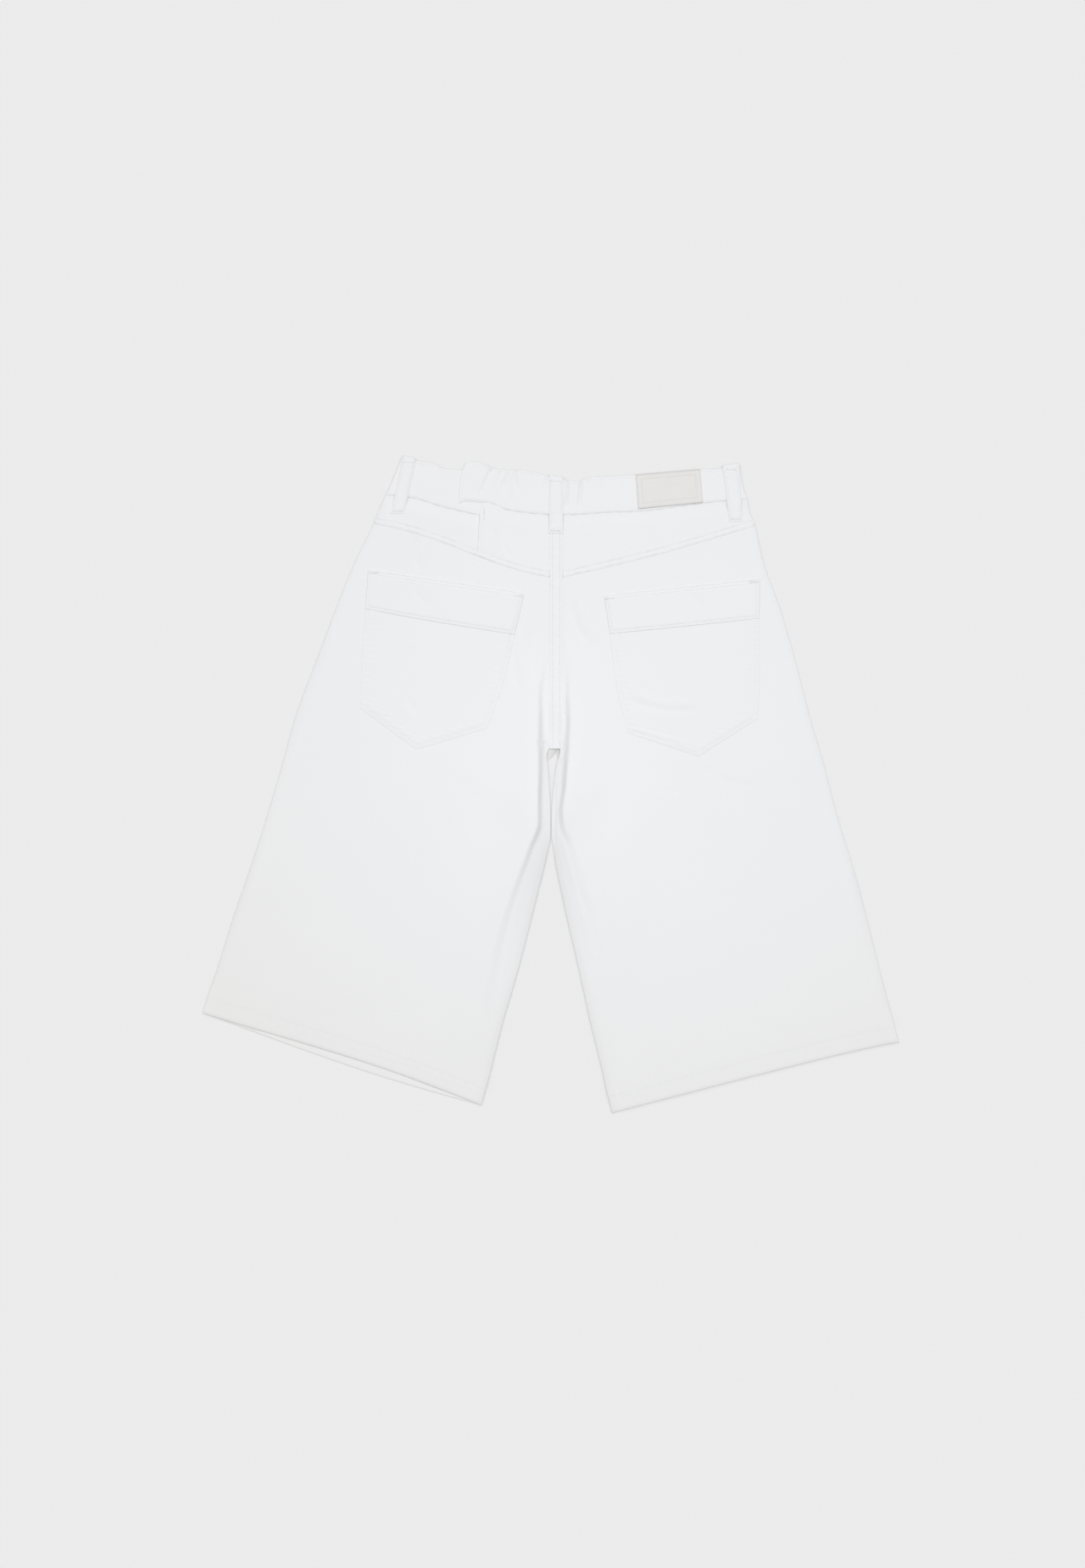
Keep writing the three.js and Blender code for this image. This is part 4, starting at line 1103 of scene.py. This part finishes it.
def crowned(across, width, rows, depths):
    """The fell's thickness: thin at its edges, full between, with a groove under each row of stitches."""
    crown = np.sin(math.pi * np.clip(across / width, 0, 1))
    return mix(0.04, 0.27, crown) + sum(groove(across, row, depth, 0.6) for row, depth in zip(rows, depths))


def fell_wall(name, x, y, insets, lift, across, width, rows, depths, grain):
    """A thin strip on the cloth, crowned across its width."""
    low = cloth_top(x, y) + TOUCH + lift * soften(across / 2.5)
    high = low + FELL * crowned(across, width, rows, depths) + 0.07 * (1 + ripple(y + 0.3 * x, 9.4, 0.9))
    fell = wall(name + "_cloth", x, y, low, high, insets, SEAM_WHITE, grain, 0.25)
    return stands_for(fell, name)


x, y, insets = strip([[left_x, low_y], [left_x, high_y], [right_x, low_y], [right_x, high_y]], 0.95)
seat_fell = fell_wall("seat_fell", x, y, insets, 0, insets[0], right_x - left_x, SEAT_ROWS, (0.22, 0.22), 0.0)
# Painted shade on the seat fell: darker towards its lower end, in an uneven patch at that end, and along its
# rows of stitches.
crotch_end_shade = 0.1 * (1 + ripple(1.3 * x + y, 5.3, 0.6)) * bell(y - low_y, 6)
stitch_row_shade = sum(bell(x - left_x - row, 0.7) for row in SEAT_ROWS)
set_tone(seat_fell, np.clip(0.12 * (1 - soften((y - 40) / 60)) + crotch_end_shade + 0.14 * stitch_row_shade, 0, 1))


def yoke_fell(name, yoke, outward, lift):
    """A narrow strip along a yoke seam, from beside the side seam to beside the seat fell."""
    seam = bowed(**yoke)
    last = yoke_share(yoke, left_x - 0.2 if outward < 0 else right_x + 0.2)
    low = part_of(seam, 0.004, last, (0, FELL_LOW))
    high = part_of(seam, 0.004, last, (0, FELL_LOW + FELL_WIDTH))
    if outward > 0:
        low, high = backwards(low), backwards(high)
    ends = [line([end(low), end(high)]) for end in (start_of, end_of)]
    x, y, insets = grid(*ends, low, high, 0.95, (RIM,) * 4)
    fell = fell_wall(name, x, y, insets, lift(x), insets[2], FELL_WIDTH, FELL_ROWS, (0.05, 0.16), 1.35)
    # Painted shade along the fell's rows of stitches, broken up unevenly along the seam.
    uneven = soften(0.45 + 0.4 * ripple(x, 31, 0.4 + outward) + 0.3 * ripple(x, 9, 1.0))
    set_tone(fell, 0.32 * uneven * sum(bell(insets[2] - row, 0.8) for row in FELL_ROWS))


def fell_lap(x):
    """What is left of the centre yoke's lap at its fell."""
    return SEWN_LAP * yoke_lap(x) * soften((x + 79) / 6)


yoke_fell("yoke_fell_left", LEFT_YOKE, -1, fell_lap)
yoke_fell("yoke_fell_right", RIGHT_YOKE, 1, flat)
print("felled seams made")

# %% [markdown]
# ## Patch pockets
# A pocket has five corners, is turned in all round and sewn down twice. A second strip of cloth, the band,
# lies across its opening. Distances from the turned edges place the grooves of the stitch rows.

# %% Pockets
POCKET_ROWS = (3.4, 10)  # rows of stitches, from the turned edge
BAND_ROW = 3.1  # row of stitches along a pocket's band
BAND_BOX = 13.0  # from a band's end to the far side of its sewn box
POCKET_RIM = [*RIM, 2.0, 2.7, 3.4, 4.1, 4.9, 6.2, 7.6, 8.6, 9.3, 10, 10.7, 11.5, 13]


def to_outline(points, x, y):
    """Least distance from each point to a chain of straight edges."""
    nearest = np.full(np.shape(x), 1e9)
    for (x0, y0), (x1, y1) in zip(points[:-1], points[1:]):
        dx, dy = x1 - x0, y1 - y0
        share = np.clip(((x - x0) * dx + (y - y0) * dy) / (dx * dx + dy * dy), 0, 1)
        nearest = np.minimum(nearest, np.hypot(x - x0 - share * dx, y - y0 - share * dy))
    return nearest


def pocket_outline(pocket):
    """From the upper left corner down, round the tip and up to the upper right corner."""
    return [*pocket["left"][::-1], pocket["tip"], *pocket["right"]]


def turned_cloth(insets):
    """Thickness of a turned strip: half at its pressed edges, full a few millimetres inside."""
    return CLOTH * mix(0.34, 0.85, soften(np.minimum.reduce(insets) / 5))


def pocket_height(outline, x, y):
    """Upper face of a pocket: one thin layer at its pressed edges, a little fuller inside them."""
    inside = to_outline(outline, x, y)
    return cloth_top(x, y) + TOUCH + CLOTH * mix(0.24, 0.8, soften(inside / 7)) + 0.45 * soften(inside / 30)


def pocket_body(side, pocket, grain):
    """The five-cornered piece, with its two grooves and the puckers between them."""
    outline = pocket_outline(pocket)
    left, right = pocket["left"], pocket["right"]
    bottom = line([left[0], pocket["tip"], right[0]], sharp=True)
    rims = (POCKET_RIM, POCKET_RIM, POCKET_RIM, RIM)
    x, y, insets = grid(line(left), line(right), bottom, line([left[-1], right[-1]]), 1.75, rims)
    inside = to_outline(outline, x, y)
    rows = sum(groove(inside, row, 0.14, 0.7) for row in POCKET_ROWS)
    pucker = 0.32 * ripple(0.25 * x + y, 10.5, 0.3) * bell(inside - 7, 6)
    high = pocket_height(outline, x, y) + rows + np.abs(pucker)
    body = wall(f"pocket_{side}_cloth", x, y, cloth_top(x, y) + TOUCH, high, insets, LEG_WHITE, grain, 0.25)
    stands_for(body, f"pocket_{side}")


def band_rest(pocket, x, y):
    """Height that a pocket's band lies on."""
    return pocket_height(pocket_outline(pocket), x, y) + 0.2 + TOUCH


def pocket_band(side, pocket):
    """The strip across the opening, a little inside the pocket's sides."""
    low_left, middle, low_right = (np.array(point, float) for point in pocket["band"])
    top_left, top_right = (np.array(pocket[end][-1], float) for end in ("left", "right"))
    right, up = np.array([0.4, 0]), np.array([0, 0.4])
    lefts = [low_left + right, top_left + right - up]
    rights = [low_right - right, top_right - right - up]
    chains = (lefts, rights, [lefts[0], middle, rights[0]], [lefts[1], rights[1]])
    edges = [line(chain) for chain in chains]
    x, y, insets = grid(*edges, 1.6, (SEWN_RIM,) * 4)
    rows = sum(groove(insets[k], BAND_ROW, 0.22, 0.8) for k in (2, 3))
    low = band_rest(pocket, x, y)
    high = low + turned_cloth(insets) + rows + 0.05 * ripple(x + 0.2 * y, 11.3, 1.8)
    cloth = wall(f"pocket_band_{side}_cloth", x, y, low, high, insets, LEG_WHITE, 1.4, 0.25)
    stands_for(cloth, f"pocket_band_{side}")
    return edges


POCKETS = {"left": (LEFT_POCKET, 0.15), "right": (RIGHT_POCKET, -0.1)}  # points and grain
band_edges = {}
for side, (pocket, grain) in POCKETS.items():
    pocket_body(side, pocket, grain)
    band_edges[side] = pocket_band(side, pocket)
print("pocket pieces made")

# %% [markdown]
# ## Belt loops and patch
# A loop is a narrow strip folded in three, sewn at its foot and turned over the top of the waistband. The
# patch is a stiff, leather-like plate with a plain pressed frame.

# %% Belt loops: corners, and the height that each foot rests on
LOOPS = {"left": (LEFT_LOOP, TOUCH), "centre": (CENTRE_LOOP, 0.5 * FELL), "right": (RIGHT_LOOP, TOUCH)}
LOOP_WIDTH = 13
FOOT_RISE = 7  # length over which a loop rises from its pressed foot
TURN_STEPS = np.array([1.0, 1.35, 1.4, 1.7, 2.0, 2.3, 2.5, 2.6])  # rows past the strip's end
TURN_START = 1.38  # from there on the turned end reaches down to the waistband's edge
FAR_IN = 30.0  # a distance from an edge that no longer rounds anything


def loop_rest(at_foot, from_foot):
    """Height that a loop rests on: the yoke at its foot, then the waistband."""
    return mix(at_foot, ON_BAND, soften((from_foot - 8) / 9))


def loop_wall(name, points, at_foot):
    """Rows up the strip, then a few that turn down over the waistband's edge."""
    x, y, insets = strip(points, 1.1)
    from_left, from_right, from_foot, _ = insets
    sides_rise = soften(np.minimum(from_left, from_right) / 2.2)
    foot_rise = soften(from_foot / FOOT_RISE)
    crown = 0.22 * np.sin(math.pi * np.clip(from_left / LOOP_WIDTH, 0, 1)) * foot_rise
    low = cloth_top(x, y) + loop_rest(at_foot, from_foot)
    high = low + CLOTH * mix(0.28, 0.9, sides_rise * foot_rise) + crown + 0.05 * ripple(y + 0.2 * x, 9.7, 0.5)
    keep = slice(None, -len(RIM) + 1)
    turn = TURN_STEPS[:, None]
    drop = (1 - np.sqrt(np.maximum(1 - ((turn - 1) / 1.7) ** 2, 0))) * 2.2
    ends = [grown[keep][-1:] for grown in (x, y, low, high)]
    added = (
        np.repeat(ends[0], len(turn), 0),
        ends[1] + turn,
        np.where(turn < TURN_START, ends[2], BAND + GAP),
        ends[3] - drop,
    )
    grown = [np.concatenate([rows[keep], more]) for rows, more in zip((x, y, low, high), added)]
    sides = [np.concatenate([inset[keep], np.repeat(inset[keep][-1:], len(turn), 0)]) for inset in insets[:2]]
    foot = np.concatenate([from_foot[keep], np.full(added[0].shape, FAR_IN)])
    length = math.dist(points[0], points[1]) + 1.5
    head = np.repeat(np.linspace(length, 0, len(foot))[:, None], x.shape[1], 1)
    return wall(name, *grown, (*sides, foot, head), SEAM_WHITE, 0.1, 0.15)


for side, (points, at_foot) in LOOPS.items():
    loop = loop_wall(f"belt_loop_{side}_cloth", points, at_foot)
    stands_for(loop, f"belt_loop_{side}")
print("belt loops made")

# %% Leather-like patch
PATCH_DARK = (0.715, 0.706, 0.688)
PATCH_PALE = (0.775, 0.766, 0.75)
PATCH_RIM = (0.5, 0.485, 0.46)  # cut edges and the pressed frame
PATCH_FRAME = 5.2  # from the patch's edge to its pressed frame
PATCH_ROW = 2.0  # from its edge to its row of stitches


def patch_material():
    """Pressed pulp: warm pale grey, fine grain bump and a faint cloudiness."""
    material, shader, wire = new_material("patch_leather")
    place = place_on_object(wire)
    grain, cloud = place.noise(1500.0, 3.0), place.noise(90.0, 4.0)
    colour = (cloud * 0.8 + grain * 0.2).blend(PATCH_DARK, PATCH_PALE)
    looks = {
        "Base Color": stored_tone(wire).blend(colour, PATCH_RIM),
        "Normal": (grain + cloud).bump(0.3, 0.15 * MM),
        "Roughness": 0.6,
        "Specular IOR Level": 0.4,
    }
    plug(shader, looks)
    return material


x, y, insets = strip(WAIST_PATCH, 0.8, ([*RIM, 1.8, 2.4],) * 4)
inside = np.minimum.reduce(insets)
low = cloth_top(x, y) + ON_BAND
frame_line = groove(inside, PATCH_FRAME, 0.22, 0.55) + groove(inside, PATCH_ROW, 0.2, 0.6)
patch = wall("patch_plate", x, y, low, low + PATCH + frame_line, insets, patch_material(), 0)
from_left, from_right, from_low, from_top = (bell(inset, 1.1) for inset in insets)
holes = 0.62 + 0.38 * np.sin(2 * math.pi * x / STITCH_STEP)
edge_tone = 0.2 * from_left + 0.1 * from_right + 0.8 * from_low * holes + 0.7 * from_top
set_tone(patch, np.clip(edge_tone + 0.2 * bell(inside - PATCH_FRAME, 0.6), 0, 1))
stands_for(patch, "waist_patch")
print("patch size in millimetres:", [round(math.dist(WAIST_PATCH[0], WAIST_PATCH[k]), 1) for k in (2, 1)])

# %% Button metal
button_material, button_shader, button_wire = new_material("button_metal")
scratch = place_on_object(button_wire).noise(900.0, 4.0)
plug(button_shader, {"Roughness": scratch * 0.3 + 0.2, "Base Color": (0.62, 0.62, 0.6, 1), "Metallic": 1})
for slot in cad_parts["waist_button"].material_slots:
    slot.material = button_material

# %% [markdown]
# ## Stitches
# A stitch is a short thick thread that dips into the cloth at both ends. One small tube, bent and tapered,
# is repeated along every row by arrays, so thousands of stitches cost a few lines. Rows of one piece are
# joined in one mesh.

# %% Thread


def thread_material():
    """Twisted cotton: a fine noise along the thread as bump, on a clean white."""
    material, shader, wire = new_material("white_thread")
    twist = place_on_object(wire).noise(2600.0, 2.0)
    looks = {
        "Base Color": twist.blend((0.80, 0.805, 0.82), (0.88, 0.885, 0.9)),
        "Normal": twist.bump(0.5, 0.1 * MM),
        "Roughness": 0.7,
        "Sheen Weight": 0.2,
    }
    plug(shader, looks)
    return material


THREAD_WHITE = thread_material()
TACK_THREAD = 2.1  # length of one thread of a bar tack


def tube_template(rings=5, sides=6):
    """Unit tube: along -1..1, a circle that narrows at the ends, and an arch that dips there."""
    along = np.linspace(-1, 1, rings)
    angle = np.linspace(0, 2 * math.pi, sides, endpoint=False)
    swell = np.sqrt(1 - 0.86 * along**6)[:, None]
    arch = (0.62 - 1.35 * along**4)[:, None]
    points = np.stack(
        [np.repeat(along[:, None], sides, 1), swell * np.cos(angle), swell * np.sin(angle) + arch], axis=-1
    ).reshape(-1, 3)
    index = np.arange(rings * sides).reshape(rings, sides)
    turned = np.roll(index, -1, axis=1)
    quads = np.stack([index[:-1], index[1:], turned[1:], turned[:-1]], axis=-1).reshape(-1, 4)
    return points, quads, [index[0][::-1], index[-1]]


def stitches_on(chain, height, step=STITCH_STEP, length=STITCH_LENGTH):
    """Centres and half lengths of the stitches along a chain of points, laid on a height."""
    xy = np.asarray(chain, float)
    run = lengths_along(xy)
    count = max(int(run[-1] / step), 1)
    middle = (run[-1] - count * step) / 2 + step / 2 + step * np.arange(count)
    middle = middle + 0.12 * np.sin(middle * 1.7) * (length / step)
    points = []
    for side in (-1, 1):
        end = np.stack([np.interp(middle + side * length / 2, run, xy[:, k]) for k in (0, 1)])
        points.append(np.concatenate([end, height(*end)[None]]).T)
    return (points[0] + points[1]) / 2, (points[1] - points[0]) / 2


def sew(name, rows):
    """One mesh of all stitches: each tube point = centre + along * half + sideways and up * width."""
    centre, half = (np.concatenate([row[k] for row in rows]) for k in (0, 1))
    points, quads, caps = tube_template()
    sideways = np.stack([-half[:, 1], half[:, 0], 0 * half[:, 0]], axis=-1)
    sideways *= THREAD_WIDTH / np.linalg.norm(sideways, axis=1, keepdims=True)
    placed = centre[:, None] + points[None, :, :1] * half[:, None] + points[None, :, 1:2] * sideways[:, None]
    placed[..., 2] += points[None, :, 2] * THREAD_WIDTH
    shift = len(points) * np.arange(len(centre))[:, None, None]
    faces = (quads[None] + shift).reshape(-1, 4).tolist()
    for cap in caps:
        faces += (cap[None] + shift[:, :, 0]).tolist()
    piece = smooth_object(name, placed.reshape(-1, 3), faces, THREAD_WHITE)
    return len(centre)


def inset_chain(points, inset):
    """A chain moved to its left by an inset: each corner is where the moved edges cross."""
    rows = np.asarray(points, float)
    step = np.diff(rows, axis=0)
    step /= np.linalg.norm(step, axis=1, keepdims=True)
    normal = np.stack([-step[:, 1], step[:, 0]], axis=-1)
    first, last = rows[0] + normal[0] * inset, rows[-1] + normal[-1] * inset
    both = normal[:-1] + normal[1:]
    corner = rows[1:-1] + both * inset / (1 + np.sum(normal[:-1] * normal[1:], axis=1))[:, None]
    return np.concatenate([[first], corner, [last]])


def edge_chain(edge, start, end, shift, count=60):
    """Points of an edge between two shares, moved sideways."""
    share = np.linspace(start, end, count)
    return edge(share).T + np.array(shift)


def tack(x, y, length, height, turn=0.0, spacing=0.42, wide=2.2):
    """Rows of a bar tack: short threads side by side across its length."""
    forward = np.array([math.cos(turn), math.sin(turn)])
    across = wide / 2 * np.array([-forward[1], forward[0]])
    middles = np.array([x, y]) + np.arange(-length / 2, length / 2, spacing)[:, None] * forward
    return [stitches_on([middle + across, middle - across], height, wide, TACK_THREAD) for middle in middles]


print("faces of one stitch:", len(tube_template()[1]) + 2)

# %% Rows on legs and pockets


def pressed(depth):
    """Height of a row that is pulled into the cloth or lies on it."""
    return lambda x, y: cloth_top(x, y) + depth


hem_chains = [edge_chain(leg["hem"], 0.004, 0.996, (0, HEM_DEPTH)) for leg in (LEFT, RIGHT)]
sewn = sew("hem_stitches", [stitches_on(chain, pressed(-0.25)) for chain in hem_chains])


def pocket_sewing(side, pocket, edges):
    """Two rows round the pocket, two across its band, a box at each end of the band, and bar tacks."""
    outline = pocket_outline(pocket)
    band_ends = np.array([pocket["band"][0], pocket["band"][-1]])
    on_pocket = lambda x, y: pocket_height(outline, x, y) - 0.18
    on_band = lambda x, y: band_rest(pocket, x, y) + 0.74 * CLOTH - 0.12
    rows = []
    for inset in POCKET_ROWS:
        fine = line(inset_chain(outline, inset), sharp=True)(np.linspace(0, 1, 240)).T
        under = fine[:, 1] < np.interp(fine[:, 0], *band_ends.T) - 1.0
        rows.append(stitches_on(fine[under], on_pocket))
    left, right, bottom, top = edges
    for edge, shift in ((bottom, BAND_ROW), (top, -BAND_ROW)):
        rows.append(stitches_on(edge_chain(edge, 0.02, 0.98, (0, shift)), on_band))
    for edge, toward in ((left, 1), (right, -1)):
        for inset in (BAND_ROW, BAND_BOX):
            rows.append(stitches_on(edge_chain(edge, 0.09, 0.91, (toward * inset, 0)), on_band))
        corner = end_of(edge)
        rows += tack(corner[0] + toward * 6, corner[1] - 2.4, 9, on_band)
    return sew(f"pocket_{side}_stitches", rows)


for side, (pocket, _) in POCKETS.items():
    sewn += pocket_sewing(side, pocket, band_edges[side])
print("stitches so far:", sewn)

# %% Rows on seams and yokes
EDGE_ROW = 3.1  # from the slit and from the tab's end to their rows of stitches
fell_top = pressed(TOUCH + 0.22 * FELL)
seam_rows = []
for row in SEAT_ROWS:
    chain = line([[left_x + row, low_y + 2], [left_x + row, high_y - 2]])(np.linspace(0, 1, 80)).T
    seam_rows.append(stitches_on(chain, fell_top))
for yoke, outward, lift in ((LEFT_YOKE, -1, fell_lap), (RIGHT_YOKE, 1, flat)):
    last = yoke_share(yoke, SEAT_X + outward * 8.5)
    for row in FELL_ROWS:
        chain = edge_chain(bowed(**yoke), 0.01, last, (0, FELL_LOW + row))
        seam_rows.append(stitches_on(chain, lambda x, y, lift=lift: fell_top(x, y) + lift(x)))
slit_top = lambda x, y: cloth_top(x, y) + yoke_lap(x) - 0.1
seam_rows.append(stitches_on(edge_chain(slit, 0.1, 0.92, (EDGE_ROW, 0)), slit_top))
seam_rows += tack(-66, 267, 11, slit_top, math.pi / 2)
sewn += sew("seam_stitches", seam_rows)

# %% Rows on the waistband
side_height = lambda x, y: cloth_top(x, y) + BAND_PROUD - 0.12
elastic_height = lambda x, y: side_height(x, y) + band_lap(x) - gathered(x, y)
band_rows = []
stretches = ((side_band, 0.02, 0.74, 60, side_height), (elastic_band, 0.016, 0.99, 300, elastic_height))
for band, start, end, count, height in stretches:
    for k, shift in ((2, WAIST_ROW), (3, -WAIST_ROW)):
        band_rows.append(stitches_on(edge_chain(band[k], start, end, (0, shift), count), height))
band_rows.append(stitches_on(edge_chain(elastic_band[0], 0.08, 0.92, (EDGE_ROW, 0)), elastic_height))
sewn += sew("waistband_stitches", band_rows)
print("stitches so far:", sewn)

# %% Rows on loops and patch


def loop_sewing(points, at_foot):
    """Two rows up the strip and a bar tack at its foot and at its top."""
    low_left, top_left, low_right, top_right = (np.array(point, float) for point in points)
    foot_y = (low_left[1] + low_right[1]) / 2

    def height(x, y):
        thick = CLOTH * mix(0.3, 1.03, soften((y - foot_y) / FOOT_RISE))
        return cloth_top(x, y) + loop_rest(at_foot, y - foot_y) + thick

    rows = []
    for share in (0.2, 0.8):
        start, end = mix(low_left, low_right, share), mix(top_left, top_right, share)
        chain = line([start + [0, 1.5], end - [0, 1.5]])(np.linspace(0, 1, 30)).T
        rows.append(stitches_on(chain, height))
    turn = math.atan2(*(low_right - low_left)[::-1])
    for share in (0.05, 0.93):
        middle = mix(mix(low_left, low_right, 0.5), mix(top_left, top_right, 0.5), share)
        rows += tack(*middle, 10.5, height, turn)
    return rows


loop_rows = [row for points, at_foot in LOOPS.values() for row in loop_sewing(points, at_foot)]
sewn += sew("loop_stitches", loop_rows)

low_left, top_left, low_right, top_right = WAIST_PATCH
ring = inset_chain([low_left, low_right, top_right, top_left, low_left, low_right], PATCH_ROW)[1:5]
patch_rows = []
for start, end in zip(ring, np.roll(ring, -1, axis=0)):
    chain = line([start, end])(np.linspace(0.03, 0.97, 40)).T
    patch_rows.append(stitches_on(chain, pressed(ON_BAND + PATCH - 0.1)))
sewn += sew("patch_stitches", patch_rows)
print("stitches in all:", sewn)

# %% [markdown]
# ## Sizes
# The corners of the box round the imported solids and of the box round the soft pieces, in metres.

# %% Finish
size = {"cad": [list(map(float, corner)) for corner in cad_box], "visual": [list(map(float, corner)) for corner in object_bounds()]}
